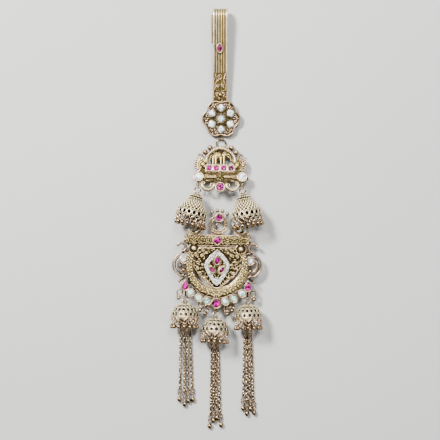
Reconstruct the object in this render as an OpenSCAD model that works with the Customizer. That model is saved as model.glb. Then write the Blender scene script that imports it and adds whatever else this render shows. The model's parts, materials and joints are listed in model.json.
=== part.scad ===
// Hair bun pin with a folded hook strip, two pierced plaques, five bells and three chain tassels.
// It lies face up on a flat surface: +Y runs to the hook, +Z is up, the base of the box is the origin.

/* [Hook] */
// Width of the folded strip
strip_width = 6.9; // [5:0.1:9]
// Thickness of the strip
strip_thick = 0.8; // [0.6:0.1:1.2]
// Clear gap between the two legs of the strip
strip_gap = 5; // [4.5:0.1:6]
// Length of the front leg, from the tip of the back leg to the roundel
front_leg = 29.6; // [20:0.2:34]
// Length of the back leg
back_leg = 16.4; // [12:0.2:24]

/* [Roundel] */
// Radius of each of the six lobes
lobe_radius = 4.3; // [3.5:0.1:5]
// Side of a square stone
square_stone = 2.9; // [2:0.1:3.2]

/* [Plaques] */
// Thickness of the upper plaque's plate
upper_plate = 1; // [0.8:0.1:1.5]
// Thickness of the main plaque's plate
main_plate = 1.2; // [0.8:0.1:1.6]
// Outer radius of the crescent
crescent_radius = 15.5; // [14.8:0.1:15.6]

/* [Bells] */
// Rim radius of a lower bell
dome_radius = 6.7; // [6:0.1:7]
// Rim radius of an upper bell
cone_radius = 7.5; // [7:0.1:8]
// Wall thickness of every bell
bell_wall = 0.6; // [0.4:0.05:0.8]
// Number of hoops on a lower bell
dome_hoops = 14; // [10:1:14]
// Number of hoops on an upper bell
cone_hoops = 16; // [10:1:16]

/* [Tassels] */
// Thickness of a tassel chain
chain_width = 1.3; // [1:0.1:1.3]
// Radius of the drop at the end of a chain
end_bead = 1.05; // [0.8:0.05:1.1]

/* [Hidden] */
$fn = 48;

gold = "#b9a564";
dark_gold = "#8f7d47";
ruby = "#a3186f";
milky = "#dfeae6";

// Space between loose pieces, and how deep one joined shape enters the next
gap = 0.08;
sink = 0.2;

// Frames: x, y, z of the origin, tilt about X and turn about Z
lip_radius = 0.6;
hook_tilt = 5.8;
hook_frame = [1.51, 88.92, lip_radius * (1 - sin(hook_tilt) - cos(hook_tilt)), hook_tilt, 0];
upper_frame = [1.63, 24.92, 3.86, -14, -0.9];
main_frame = [-0.02, -22.08, 5.15, -1.6, -1.2];

// Wires: radius of the ring's centre line, then radius of the wire
top_ring = [2.25, 0.38];
cap_ring = [1.45, 0.25];
bell_ring = [1.3, 0.25];
big_eye = [0.85, 0.25];
small_eye = [0.6, 0.17];
rim_eye = [0.55, 0.16];
hoop = [1.15, 0.2];
bead_eye = [0.45, 0.15];
fringe_bead = 1.05;

// Strip of the hook
fold_radius = strip_gap / 2 + strip_thick;
front_low = strip_gap + strip_thick;
front_top = front_low + strip_thick;
rib_radius = 0.42;
rib_count = 6;
back_shift = -0.9;
roundel_at = [0.47, -38.1];
lobe_distance = 5.3;
roundel_stone_distance = 5.4;
hook_eye = [0.47, -48.4, 6.1];

// Upper plaque, from its own frame's origin
upper_eye = [0, 11.35, 0];
arch_at = [0, 3.7];
arch_outer = 7.1;
arch_inner = 6.4;
arch_balls = [[54, 9.2, 1.3], [33, 9.3, 1.3], [70, 8.2, 0.6]];
bar_half = [7.2, 1.95];
bar_rubies = [-5.68, -2.03, 1.62, 5.27];
bar_ruby_y = 0.2;
fan_at = [8.5, 2.2];
fan_count = 8;
end_stone_at = [10.9, -4.3];
cap_eye_at = [11.1, -9.6, 0];
scroll_at = [6.1, -7.9];
scroll_ruby_at = [0, -9.6];

// Main plaque, from its own frame's origin
medallion_at = [11.9, 17.5];
medallion_radius = 4.4;
medallion_cut = 1.4;
crest_at = [0.2, 19.4];
crest_turn = -6;
crest_ruby_up = 3.3;
crest_balls = [-33, -11, 11, 33];
band_rise = 1;
crescent_rise = 0.8;
band_ruby_at = [0, 11.3];
knob_at = [11.7, 7.3];
crescent_at = [0, -1.9];
crescent_hollow_at = [0, 0.3];
crescent_hollow = 12.25;
shield_points = [
    [8.6, 8.6], [8.6, 7.8], [13, 1.7], [12.4, -1.2], [9.8, -5], [6.9, -8], [3.4, -10.7], [1.6, -12.2], [0, -12.6]
];
spade_points = [[0, 7.1], [3.3, 3.9], [5.7, 0.8], [6.4, -0.9], [5.7, -3.1], [3.9, -6.6], [1.8, -9.7], [0, -11]];
// Holes of the shield on its right half: x, y, radius
shield_holes = [
    [3.2, 6.8, 0.6], [5.7, 6.9, 0.6], [6.2, 5, 0.65], [8.8, 5.5, 0.55], [8.3, 1.9, 0.65], [7.8, 1.1, 0.55],
    [11.4, 1.9, 0.7], [11.3, 0.5, 0.6], [7.6, -3.2, 0.55], [6.6, -5.6, 0.6], [5.2, -8, 0.55]
];
scroll_big_at = [16.25, -1];
pearl_at = [16.65, 1.35];
curl_at = [17.85, 7.85];
// Small balls on each side: x, y, radius
side_balls = [
    [15.8, 13.4, 0.9], [13, 4.25, 0.8], [13.85, 2.4, 0.65], [16.6, -3.65, 0.85], [16.8, -6.25, 0.85],
    [18.7, -9.25, 0.7]
];
drop_ruby_at = [15.6, -11.1];
row_stones = [[-12.8, -14.7], [-8.73, -17.35], [-4.63, -18.75], [4.63, -18.75], [8.73, -17.35], [12.8, -14.7]];
row_ruby_at = [0, -19.9];
bell_eyes = [[-15.3, -17], [0, -23.9], [15.6, -17]];
medallion_eye = [12.4, 20, -0.1];

// Bells: how far the mouth leans to the right, how far it tips up, and the rim's height over the eye
upper_leans = [-15, 11];
lower_leans = [-2, -3, 1];
bell_tip = 5;
rest = 0.45;
cone_length = 12.2;
dome_length = 8.2;
cone_inner_eye = 4.35;
dome_apex = 0.45;
cone_phases = [0.5, 0];

// Chains of the tassels, from the bell's eye: the end bead's x and y, the chain's x at the fringe,
// its lift there, and its x at the end
left_chains = [
    [-3.2, -49.5, -2.5, 0, -2.9],
    [-0.6, -52, -0.8, 0, -0.6],
    [1.4, -50.3, 0.7, 0.7, 1.1],
    [3.6, -49.6, 2.4, 0, 3.2]
];
mid_chains = [
    [-3.1, -55.65, -2, 0, -2.5],
    [-1.2, -52.9, -1.1, 1.3, -1],
    [0.65, -51.6, -0.2, 0, 0.4],
    [2.6, -55.1, 1.3, 0, 2.1]
];
right_chains = [
    [-2.3, -53.4, -1.5, 0, -2.1],
    [-0.3, -56, -0.1, 0, -0.4],
    [1.5, -53.6, 0.9, 1.3, 1.2],
    [3.4, -55.6, 1.8, 0, 2.9]
];
floor_gap = 0.1;
chain_stop = 5.9;
end_link = [0.45, 0.13];
drop_neck = 0.7;
chain_sides = 8;

// Places that follow from the frames
function in_frame(f, p) =
    let (
        y = p[1] * cos(f[3]) - p[2] * sin(f[3]),
        z = p[1] * sin(f[3]) + p[2] * cos(f[3])
    )
    [f[0] + p[0] * cos(f[4]) - y * sin(f[4]), f[1] + p[0] * sin(f[4]) + y * cos(f[4]), f[2] + z];

function side(i) = i == 0 ? -1 : 1;

// Height of a bell's eye when its rim and fringe rest on the surface
function eye_height(radius, length) = rest + radius * cos(bell_tip) - length * sin(bell_tip);

// Centre of the eye at the far side of a ring that hangs from one eye
function ring_far(from, ring, lean, height) =
    let (reach = sqrt(pow(2 * ring[0], 2) - pow(height - from[2], 2)))
    [from[0] + reach * sin(lean), from[1] - reach * cos(lean), height];

cone_height = eye_height(cone_radius + 0.4, cone_length);
dome_height = eye_height(dome_radius, dome_length);
cap_from = [for (i = [0, 1]) in_frame(upper_frame, [side(i) * cap_eye_at[0], cap_eye_at[1], cap_eye_at[2]])];
cap_to = [for (i = [0, 1]) ring_far(cap_from[i], cap_ring, upper_leans[i] / 3, cone_height)];
bell_from = [for (i = [0:2]) in_frame(main_frame, [bell_eyes[i][0], bell_eyes[i][1], 0])];
bell_to = [for (i = [0:2]) ring_far(bell_from[i], bell_ring, lower_leans[i], dome_height)];
medallion_to = [for (i = [0, 1]) in_frame(main_frame, [side(i) * medallion_eye[0], medallion_eye[1], medallion_eye[2]])];

module place(f) {
    translate([f[0], f[1], f[2]])
        rotate([f[3], 0, f[4]])
            children();
}

// A bell's own frame: the eye at the origin and the mouth towards -Z
module hang(at, lean) {
    translate(at)
        rotate([-90 - bell_tip, 0, lean])
            children();
}

module torus(ring) {
    rotate_extrude()
        translate([ring[0], 0])
            circle(ring[1]);
}

module torus_arc(ring, from, sweep) {
    rotate([0, 0, from])
        rotate_extrude(angle = sweep)
            translate([ring[0], 0])
                circle(ring[1]);
}

// An eye in the YZ plane, which a flat ring passes through
module eye(ring) {
    rotate([0, 90, 0])
        torus(ring);
}

// A flat ring from one eye to the next
module jump_ring(from, to, ring) {
    across = norm([to[0] - from[0], to[1] - from[1]]);
    translate((from + to) / 2)
        rotate([0, 0, atan2(to[1] - from[1], to[0] - from[0])])
            rotate([0, -atan2(to[2] - from[2], across), 0])
                torus(ring);
}

module rod(from, to, radius) {
    along = to - from;
    translate(from)
        rotate([0, acos(along[2] / norm(along)), atan2(along[1], along[0])])
            cylinder(h = norm(along), r = radius);
}

module both_sides() {
    children();
    mirror([1, 0, 0])
        children();
}

module ball(at, radius) {
    translate(at)
        sphere(radius);
}

// Outlines of the stones
function round_outline(radius) = [for (i = [0:11]) radius * [cos(30 * i), sin(30 * i)]];

function square_outline(half) =
    let (cut = 0.3 * half)
    [
        [half, half - cut], [half - cut, half], [cut - half, half], [-half, half - cut],
        [-half, cut - half], [cut - half, -half], [half - cut, -half], [half, cut - half]
    ];

function drop_outline(half_width, half_height) =
    [for (i = [0:15]) let (a = 22.5 * i) [half_width * sin(a) * pow(sin(a / 2), 1.2), half_height * cos(a)]];

function almond_outline(half_width, half_height) =
    [for (i = [0:11]) let (a = 30 * i) [half_width * sin(a) * abs(sin(a)), half_height * cos(a)]];

function grow(outline, distance) = [for (p = outline) p * (1 + distance / norm(p))];

// A cut stone: a flat back, a girdle, a crown of facets and a table
module gem(outline, deep, crown, table) {
    n = len(outline);
    back = [for (p = outline) [0.8 * p[0], 0.8 * p[1], 0]];
    girdle = [for (p = outline) [p[0], p[1], deep]];
    top = [for (p = outline) [table * p[0], table * p[1], deep + crown]];
    polyhedron(
        points = concat(back, girdle, top),
        faces = concat(
            [[for (i = [0:n - 1]) i]],
            [for (i = [0:n - 1]) [i, n + i, n + (i + 1) % n, (i + 1) % n]],
            [for (i = [0:n - 1]) [n + i, 2 * n + i, 2 * n + (i + 1) % n, n + (i + 1) % n]],
            [[for (i = [0:n - 1]) 3 * n - 1 - i]]
        )
    );
}

module round_bezel(radius, low, high) {
    translate([0, 0, low])
        linear_extrude(high - low)
            difference() {
                circle(radius);
                circle(radius - 0.4);
            }
}

module bezel(outline, low, high) {
    translate([0, 0, low])
        linear_extrude(high - low)
            difference() {
                polygon(grow(outline, 0.45));
                polygon(grow(outline, gap));
            }
}

// Hook strip, folded back on itself
module strip_section(width) {
    translate([-width / 2, 0])
        square([width, strip_thick]);
    for (i = [0:rib_count - 1])
        translate([(width / 2 - rib_radius) * (2 * i / (rib_count - 1) - 1), strip_thick - 0.15])
            circle(rib_radius);
}

module front_strip() {
    translate([0, back_leg - fold_radius, front_low])
        rotate([90, 0, 0])
            linear_extrude(front_leg + back_leg - fold_radius)
                strip_section(strip_width);
}

module fold() {
    translate([0, back_leg - fold_radius, fold_radius])
        rotate([0, 90, 0])
            rotate_extrude(angle = 180)
                translate([strip_gap / 2, 0])
                    rotate([0, 0, -90])
                        strip_section(strip_width);
}

module back_strip() {
    translate([back_shift - strip_width / 2, lip_radius, 0])
        cube([strip_width, back_leg - fold_radius + 0.6 - lip_radius, strip_thick]);
    translate([back_shift - strip_width / 2, lip_radius, lip_radius])
        rotate([0, 90, 0])
            cylinder(h = strip_width, r = lip_radius);
}

module hook_ornament() {
    top = front_top;
    ball([-0.3, -17.4, top], 0.6);
    translate([-0.2, -20.1, top])
        torus([1.35, 0.4]);
    for (s = [-1, 1])
        translate([s * 1.5, -23.3, top])
            torus_arc([1.1, 0.35], s < 0 ? 60 : -120, 240);
    ball([-2.6, -23.6, top - 0.1], 0.7);
    ball([2.8, -23.9, top - 0.1], 0.7);
    ball([0.2, -26.4, top - 0.5], 1.6);
    translate([0.2, -28.7, top])
        torus([0.9, 0.3]);
}

module roundel_outline(grown) {
    for (i = [0:5])
        rotate([0, 0, 60 * i])
            translate([lobe_distance, 0])
                circle(lobe_radius + grown);
    circle(lobe_distance);
}

module roundel_gaps() {
    for (i = [0:5])
        rotate([0, 0, 60 * i]) {
            polygon([[2.9, 0], [3.6, 0.75], [5.3, 0], [3.6, -0.75]]);
            for (a = [-24, 0, 24])
                rotate([0, 0, a])
                    translate([a == 0 ? 7.9 : 7.6, 0])
                        circle(0.5);
        }
}

module roundel() {
    translate([roundel_at[0], roundel_at[1], front_low - 0.2]) {
        linear_extrude(upper_plate)
            difference() {
                roundel_outline(-0.3);
                roundel_gaps();
            }
        linear_extrude(upper_plate + 0.5)
            difference() {
                roundel_outline(0);
                roundel_outline(-0.6);
            }
        for (i = [0:5])
            rotate([0, 0, 60 * i + 30])
                translate([roundel_stone_distance, 0])
                    rotate([0, 0, 45])
                        bezel(square_outline(square_stone / 2), upper_plate - sink, upper_plate + 1);
        round_bezel(2.2, upper_plate - sink, upper_plate + 1.1);
    }
}

module hook_clip() {
    color(gold)
        place(hook_frame)
            union() {
                front_strip();
                fold();
                back_strip();
                hook_ornament();
                translate([-0.2, -3.2, 0])
                    bezel(almond_outline(0.95, 1.9), front_top - sink, front_top + 0.8);
                roundel();
                rod([hook_eye[0], -45.8, hook_eye[2]], [hook_eye[0], -47.6, hook_eye[2]], 0.45);
                translate(hook_eye)
                    eye(big_eye);
            }
}

module hook_ruby() {
    color(ruby)
        place(hook_frame)
            translate([-0.2, -3.2, front_top + 0.35])
                gem(almond_outline(0.95, 1.9), 0.4, 0.35, 0.6);
}

module roundel_stone(i) {
    color(milky)
        place(hook_frame)
            translate([roundel_at[0], roundel_at[1], front_low + upper_plate - 0.2 + gap])
                rotate([0, 0, 60 * i + 30])
                    translate([roundel_stone_distance, 0])
                        rotate([0, 0, 45])
                            gem(square_outline(square_stone / 2), 0.9, 0.4, 0.66);
}

module roundel_centre_stone() {
    color(milky)
        place(hook_frame)
            translate([roundel_at[0], roundel_at[1], front_low + upper_plate - 0.2 + gap])
                gem(round_outline(1.7), 1, 0.5, 0.6);
}

// Upper plaque: an elephant under an arch, over a bar of square stones and a scrolled foot
module elephant_outline() {
    translate([-2.5, 6.6])
        circle(2.3);
    translate([-0.5, 6.8])
        circle(2.4);
    translate([2.8, 7.1])
        circle(1.7);
    polygon([[3.6, 7.6], [4.9, 6.6], [5.3, 4.9], [5.9, 4.2], [5.5, 3.6], [4.4, 4.6], [4, 6]]);
    for (x = [-4.4, -2.6, -0.3, 1.2])
        translate([x, 1.5])
            square([1, 4.6]);
    polygon([[-4.6, 7.4], [-5.5, 5.6], [-5.1, 4.4], [-4.9, 5.6], [-4.2, 6.4]]);
}

module upper_flat() {
    difference() {
        union() {
            difference() {
                translate(arch_at)
                    circle(arch_outer);
                translate([-8, -5])
                    square([16, 6]);
            }
            translate([-bar_half[0], -bar_half[1]])
                square(2 * bar_half);
            translate([-9.2, -5.8])
                square([18.4, 4]);
            both_sides() {
                translate(fan_at)
                    circle(2.8);
                polygon([[7, 1], [10.9, 1], [11.2, -3], [7, -3]]);
                translate(end_stone_at)
                    circle(2.3);
                translate([8.9, -8])
                    square([0.8, 2.6]);
                translate([2.1, -9])
                    square([1, 3.6]);
                translate([10.7, -8.4])
                    square([0.8, 3]);
            }
            polygon([[12.6, -2.6], [13.9, -5.4], [11.5, -6.5]]);
            translate(scroll_ruby_at)
                circle(2.25);
            translate([-1, -8])
                square([2, 3]);
        }
        difference() {
            translate(arch_at)
                circle(arch_inner);
            translate([-8, -5])
                square([16, 6.95]);
            elephant_outline();
        }
        both_sides()
            for (p = [[8, 0.6], [9.3, 1.6], [7.4, 3.3], [4.6, -3], [7.9, -2.6]])
                translate(p)
                    circle(0.45);
    }
}

module peacock() {
    for (i = [0:fan_count - 1])
        let (a = 57 - 13.5 * i, out = [cos(a), sin(a)])
            rod(
                [fan_at[0] + 2.4 * out[0], fan_at[1] + 2.4 * out[1], 0.2],
                [fan_at[0] + 4.5 * out[0], fan_at[1] + 4.5 * out[1], 0.1],
                0.34
            );
    translate([10.1, 6.5, 0.3])
        torus_arc([1.15, 0.35], 30, 230);
    rod([9.9, 5.4, 0.3], [9.4, 4.2, 0.2], 0.35);
    ball([11, 7.3, 0.3], 0.55);
}

module above_plate() {
    intersection() {
        children();
        translate([-30, -30, 0])
            cube([60, 60, 10]);
    }
}

module lower_scroll() {
    translate([scroll_at[0], scroll_at[1], 0.2]) {
        torus_arc([3.3, 0.42], 180, 180);
        translate([-2.1, -0.7, 0.2])
            torus([0.85, 0.35]);
        ball([1.1, -2.6, 0.2], 0.6);
    }
}

module upper_plaque() {
    color(gold)
        place(upper_frame)
            union() {
                translate([0, 0, -upper_plate / 2])
                    linear_extrude(upper_plate)
                        upper_flat();
                translate([0, 0, upper_plate / 2 - sink])
                    linear_extrude(0.7)
                        difference() {
                            translate(arch_at)
                                circle(arch_outer - 0.05);
                            translate(arch_at)
                                circle(arch_inner + 0.05);
                            translate([-8, -5])
                                square([16, 7.1]);
                        }
                above_plate() {
                    ball([-2.4, 6.7, -0.8], 2.3);
                    ball([-0.5, 6.9, -0.8], 2.4);
                    ball([2.8, 7.1, -0.3], 1.6);
                    ball([0, -4.2, 0.3], 1.65);
                    for (s = [-1, 1])
                        ball([s * fan_at[0], fan_at[1], -0.6], 2.4);
                }
                for (x = bar_rubies)
                    translate([x, bar_ruby_y, 0])
                        bezel(square_outline(1.25), upper_plate / 2 - sink, upper_plate / 2 + 0.9);
                both_sides() {
                    peacock();
                    lower_scroll();
                    translate([end_stone_at[0], end_stone_at[1], 0])
                        round_bezel(2.3, upper_plate / 2 - sink, upper_plate / 2 + 1.1);
                    rod([8.5, -4.4, 0.2], [3, -4.2, 0.3], 1);
                    rod([11.1, -6.2, 0], [11.1, -8.9, 0], 0.5);
                    ball([11.1, -8.2, 0], 0.8);
                    translate(cap_eye_at)
                        eye(small_eye);
                    for (b = arch_balls)
                        let (at = [b[1] * cos(b[0]), arch_at[1] + b[1] * sin(b[0]), 0.2]) {
                            rod([0.75 * at[0], arch_at[1] + 0.75 * (at[1] - arch_at[1]), 0], at, 0.45);
                            ball(at, b[2]);
                        }
                }
                translate([scroll_ruby_at[0], scroll_ruby_at[1], 0])
                    round_bezel(2.25, upper_plate / 2 - sink, upper_plate / 2 + 1.1);
                translate(upper_eye)
                    eye(big_eye);
            }
}

module upper_stone(at, outline, deep) {
    place(upper_frame)
        translate([at[0], at[1], upper_plate / 2 + gap])
            gem(outline, deep, 0.45, 0.6);
}

module bar_ruby(i) {
    color(ruby)
        upper_stone([bar_rubies[i], bar_ruby_y], square_outline(1.25), 0.7);
}

module end_stone(s) {
    color(milky)
        upper_stone([s * end_stone_at[0], end_stone_at[1]], round_outline(1.8), 0.9);
}

module scroll_ruby() {
    color(ruby)
        upper_stone(scroll_ruby_at, round_outline(1.75), 0.9);
}

// Main plaque: crest, band, crescent, pierced shield, side scrolls and a row of settings
module band_outline() {
    polygon([
        [-17.1, 11], [-14.6, 13.7], [-9, 14.2], [9, 14.2], [14.6, 13.7],
        [17.1, 11], [14.8, 8.9], [9, 8.4], [-9, 8.4], [-14.8, 8.9]
    ]);
}

module shield_outline() {
    n = len(shield_points);
    polygon(concat(shield_points, [for (i = [n - 2:-1:0]) [-shield_points[i][0], shield_points[i][1]]]));
}

module spade_outline(size) {
    n = len(spade_points);
    translate([0, -2.2 * (1 - size)])
        polygon(size * concat(spade_points, [for (i = [n - 2:-1:1]) [-spade_points[i][0], spade_points[i][1]]]));
}

module crescent_outline() {
    difference() {
        translate(crescent_at)
            circle(crescent_radius);
        translate(crescent_hollow_at)
            circle(crescent_hollow);
        translate([-18, 8])
            square([36, 10]);
    }
}

module setting_pegs() {
    for (p = concat(row_stones, [row_ruby_at, drop_ruby_at, [-drop_ruby_at[0], drop_ruby_at[1]]]))
        let (a = atan2(p[1] - crescent_at[1], p[0]), far = norm([p[0], p[1] - crescent_at[1]]))
            translate(crescent_at)
                rotate([0, 0, a])
                    translate([crescent_radius - 0.8, -0.6])
                        square([far - crescent_radius + 0.8, 1.2]);
}

module main_flat() {
    band_outline();
    crescent_outline();
    difference() {
        shield_outline();
        for (h = shield_holes)
            for (s = [-1, 1])
                translate([s * h[0], h[1]])
                    circle(h[2]);
    }
    setting_pegs();
    for (p = row_stones)
        translate(p)
            circle(1.95);
    translate(row_ruby_at)
        circle(2.45);
    both_sides() {
        intersection() {
            translate(medallion_at)
                circle(medallion_radius);
            translate([medallion_at[0] - 5, medallion_at[1] - medallion_cut - 4])
                square([10, 4]);
        }
        translate(knob_at)
            circle(2.5);
        translate(drop_ruby_at)
            polygon(grow(drop_outline(1.9, 2.4), 0.45));
    }
    translate(crest_at)
        difference() {
            circle(4.7);
            circle(3.1);
        }
    translate([-3, 13])
        square([6, 2.2]);
}

module crest() {
    translate([crest_at[0], crest_at[1], 0])
        rotate([0, 0, crest_turn]) {
            translate([0, 0, -main_plate / 2])
                linear_extrude(main_plate) {
                    translate([0, crest_ruby_up])
                        circle(1.95);
                    translate([-0.4, -0.2])
                        square([0.8, 2]);
                    circle(0.9);
                    for (a = crest_balls)
                        rotate([0, 0, a])
                            translate([-0.4, 4])
                                square([0.8, 2.9]);
                }
            translate([0, crest_ruby_up, 0])
                round_bezel(1.95, main_plate / 2 - sink, main_plate / 2 + 1.1);
            ball([0, -0.2, 0.4], 0.8);
            for (a = crest_balls)
                rotate([0, 0, a])
                    ball([0, 6.9, 0.2], 0.85);
        }
}

module side_scroll() {
    translate([scroll_big_at[0], scroll_big_at[1], 0]) {
        torus_arc([5.75, 0.5], -100, 175);
        torus_arc([3.5, 0.45], -110, 140);
    }
    translate([pearl_at[0], pearl_at[1], 0]) {
        translate([0, 0, -0.4])
            cylinder(h = 0.8, r = 1.75);
        torus_arc([2.3, 0.35], -172, 172);
        round_bezel(1.75, 0.2, 0.9);
    }
    translate([curl_at[0], curl_at[1], 0])
        torus_arc([2.2, 0.5], 20, 250);
    ball([curl_at[0] + 1.9, curl_at[1] + 1, 0.1], 0.75);
    translate([13.2, -3.4, -0.4])
        cube([4.2, 1, 0.8]);
    translate([13.4, 0.6, -0.4])
        cube([2.4, 1, 0.8]);
    translate([12.6, 4.6, -0.4])
        cube([5.2, 1.6, 0.8]);
    rod([15.3, -6.7, 0], [18.7, -9.3, 0], 0.45);
    rod([14.9, -7, 0], [13, -6.4, 0], 0.5);
    rod([12.3, 2, 0], [14, 2.6, 0], 0.4);
    for (b = side_balls)
        ball([b[0], b[1], 0.3], b[2]);
}

// Radius of a round back that rises by so much over a band of this half width
function back_radius(half, rise) = (half * half + rise * rise) / (2 * rise);

module above_outline(rise) {
    translate([0, 0, main_plate / 2 - sink])
        linear_extrude(rise + 2 * sink)
            children();
}

module round_backs() {
    top = main_plate / 2;
    band = back_radius(2.9, band_rise);
    crescent = back_radius(2.75, crescent_rise);
    intersection() {
        translate([0, band_ruby_at[1], top + band_rise - band])
            rotate([0, 90, 0])
                cylinder(h = 36, r = band, center = true);
        above_outline(band_rise)
            difference() {
                band_outline();
                translate(band_ruby_at)
                    rotate([0, 0, 45])
                        polygon(grow(square_outline(1.4), gap));
            }
    }
    intersection() {
        translate([0, -0.8, top + crescent_rise - crescent])
            torus([13.95, crescent]);
        above_outline(crescent_rise)
            crescent_outline();
    }
}

module main_relief() {
    top = main_plate / 2;
    above_plate() {
        for (i = [0:8])
            if (i != 4)
                ball([-13.2 + 3.3 * i, 11.3, top + band_rise - 0.8], 1.2);
        for (i = [0:12])
            let (a = 196 + 148 * i / 12)
                ball([13.8 * cos(a), -0.8 + 13.8 * sin(a), top + crescent_rise - 0.45], 0.9);
        ball([0, -8.6, top - 0.3], 1.5);
        for (s = [-1, 1])
            ball([s * knob_at[0], knob_at[1], 0.9], 1.75);
    }
    translate([0, 0, top - sink])
        linear_extrude(0.7)
            difference() {
                spade_outline(1);
                spade_outline(0.72);
            }
}

module main_settings() {
    top = main_plate / 2;
    translate([0, 1.7, 0])
        bezel(drop_outline(1.3, 2.05), top - sink, top + 1);
    for (s = [-1, 1])
        translate([s * 2.55, -3.15, 0])
            rotate([0, 0, -s * 35])
                bezel(drop_outline(0.95, 1.5), top - sink, top + 1);
    translate([band_ruby_at[0], band_ruby_at[1], 0])
        rotate([0, 0, 45])
            bezel(square_outline(1.4), top - sink, top + 1.5);
    for (s = [-1, 1])
        translate([s * drop_ruby_at[0], drop_ruby_at[1], 0])
            bezel(drop_outline(1.9, 2.4), top - sink, top + 1);
    for (p = row_stones)
        translate([p[0], p[1], 0])
            round_bezel(1.95, top - sink, top + 1);
    translate([row_ruby_at[0], row_ruby_at[1], 0])
        round_bezel(2.45, top - sink, top + 1.1);
}

module main_eyes() {
    for (p = bell_eyes)
        translate([p[0], p[1], 0])
            eye(small_eye);
    rod([0, -21.8, 0], [0, -23.5, 0], 0.4);
    for (s = [-1, 1]) {
        rod([s * 15.45, -12.8, 0], [s * 15.45, -16.6, 0], 0.45);
        rod([s * medallion_eye[0], 15.7, -0.1], [s * medallion_eye[0], 19.7, -0.1], 0.4);
        translate([s * medallion_eye[0], medallion_eye[1], medallion_eye[2]])
            eye(small_eye);
        for (p = row_hooks)
            translate([s * p[0], p[1], 0])
                eye(small_eye);
        rod([s * 16.4, -11.9, 0], [s * 17.95, -12.72, 0], 0.3);
    }
}

module main_plaque() {
    color(gold)
        place(main_frame)
            union() {
                translate([0, 0, -main_plate / 2])
                    linear_extrude(main_plate)
                        main_flat();
                round_backs();
                crest();
                main_relief();
                main_settings();
                main_eyes();
                both_sides()
                    side_scroll();
            }
}

module main_stone(at, turn, outline, deep) {
    place(main_frame)
        translate([at[0], at[1], main_plate / 2 + gap])
            rotate([0, 0, turn])
                gem(outline, deep, 0.45, 0.6);
}

module crest_ruby() {
    color(ruby)
        main_stone(
            crest_at + crest_ruby_up * [-sin(crest_turn), cos(crest_turn)], 0, round_outline(1.45), 0.9
        );
}

module band_ruby() {
    color(ruby)
        main_stone(band_ruby_at, 45, square_outline(1.4), 1.3);
}

module shield_drop(i) {
    color(ruby)
        if (i == 0)
            main_stone([0, 1.7], 0, drop_outline(1.3, 2.05), 0.8);
        else
            main_stone([i * 2.55, -3.15], -35 * i, drop_outline(0.95, 1.5), 0.8);
}

module side_pearl(s) {
    color(milky)
        place(main_frame)
            translate([s * pearl_at[0], pearl_at[1], 0.4 + gap])
                gem(round_outline(1.25), 0.4, 0.45, 0.6);
}

module drop_ruby(s) {
    color(ruby)
        main_stone([s * drop_ruby_at[0], drop_ruby_at[1]], 0, drop_outline(1.9, 2.4), 0.8);
}

module row_stone(i) {
    color(milky)
        main_stone(row_stones[i], 0, round_outline(1.45), 0.8);
}

module row_ruby() {
    color(ruby)
        main_stone(row_ruby_at, 0, round_outline(1.95), 0.9);
}

// Bells
module rim_eyes(count, radius, low, phase) {
    for (i = [0:count - 1])
        rotate([0, 0, 360 * (i + phase) / count])
            translate([radius, 0, low])
                rotate([90, 0, 0])
                    torus(rim_eye);
}

module dome_profile(radius) {
    middle = -dome_apex - dome_radius;
    intersection() {
        union() {
            translate([0, middle])
                circle(radius);
            translate([0, -dome_length - 1])
                square([radius, dome_length + 1 + middle]);
        }
        translate([0, -dome_length - (radius < dome_radius ? 1 : 0)])
            square([dome_radius + 1, dome_length + 2]);
    }
}

module lower_bell() {
    difference() {
        rotate_extrude()
            difference() {
                dome_profile(dome_radius);
                dome_profile(dome_radius - bell_wall);
            }
        for (i = [0:dome_hoops - 1])
            rotate([0, 0, 360 * i / dome_hoops])
                translate([0, 0, -4.3])
                    rotate([0, 90, 0])
                        translate([0, 0, 4])
                            cylinder(h = 4, r = 0.6);
    }
    eye(small_eye);
    translate([0, 0, -1.75])
        eye(small_eye);
    rim_eyes(dome_hoops, dome_radius - bell_wall / 2, -dome_length - 0.4, 0.5);
}

// Outer and inner line of a conical bell: radius and height at each corner
cone_line = [
    [0, -0.65], [1.7, -0.65], [1.9, -1.4], [3.2, -1.9], [3.3, -3.3], [4, -3.9], [5.9, -7],
    [cone_radius, -10.4], [cone_radius, -cone_length]
];

module upper_bell(phase) {
    n = len(cone_line);
    inner = [for (i = [n - 1:-1:4]) [cone_line[i][0] - bell_wall, cone_line[i][1] - (i == 4 ? 0.4 : 0)]];
    difference() {
        rotate_extrude()
            polygon(concat(cone_line, inner, [[0, -3.7]]));
        for (i = [0:cone_hoops - 1])
            rotate([0, 0, 360 * (i + 0.5 + phase) / cone_hoops])
                translate([0, 0, -11.3])
                    rotate([0, 90, 0])
                        translate([0, 0, 5])
                            cylinder(h = 4, r = 0.75);
    }
    eye(small_eye);
    translate([0, 0, -cone_inner_eye])
        eye(small_eye);
    rim_eyes(cone_hoops, cone_radius - bell_wall / 2, -cone_length - 0.4, phase);
}

module bell_upper(i) {
    color(gold)
        hang(cap_to[i], upper_leans[i])
            upper_bell(cone_phases[i]);
}

module bell_lower(i) {
    color(gold)
        hang(bell_to[i], lower_leans[i])
            lower_bell();
}

// One bead on its eye, with the eye at the origin in the YZ plane
module bead_drop(radius) {
    eye(bead_eye);
    translate([0, 0, -bead_eye[0] - radius])
        sphere(radius);
}

// A hoop through each rim eye and a bead on each hoop, drooping a little where they lie on top
module fringe(count, radius, low, phase, swing) {
    for (i = [0:count - 1])
        let (a = 360 * (i + phase) / count, droop = 2.5 - 11.5 * sin(a))
            rotate([0, 0, a])
                translate([radius, 0, low])
                    rotate([0, 0, -a])
                        rotate([droop, swing, 0])
                            rotate([0, 0, a]) {
                                translate([0, 0, -hoop[0]])
                                    rotate([0, 90, 0])
                                        torus(hoop);
                                translate([0, 0, -2 * hoop[0]])
                                    rotate([0, 0, 90])
                                        bead_drop(fringe_bead);
                            }
}

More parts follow.
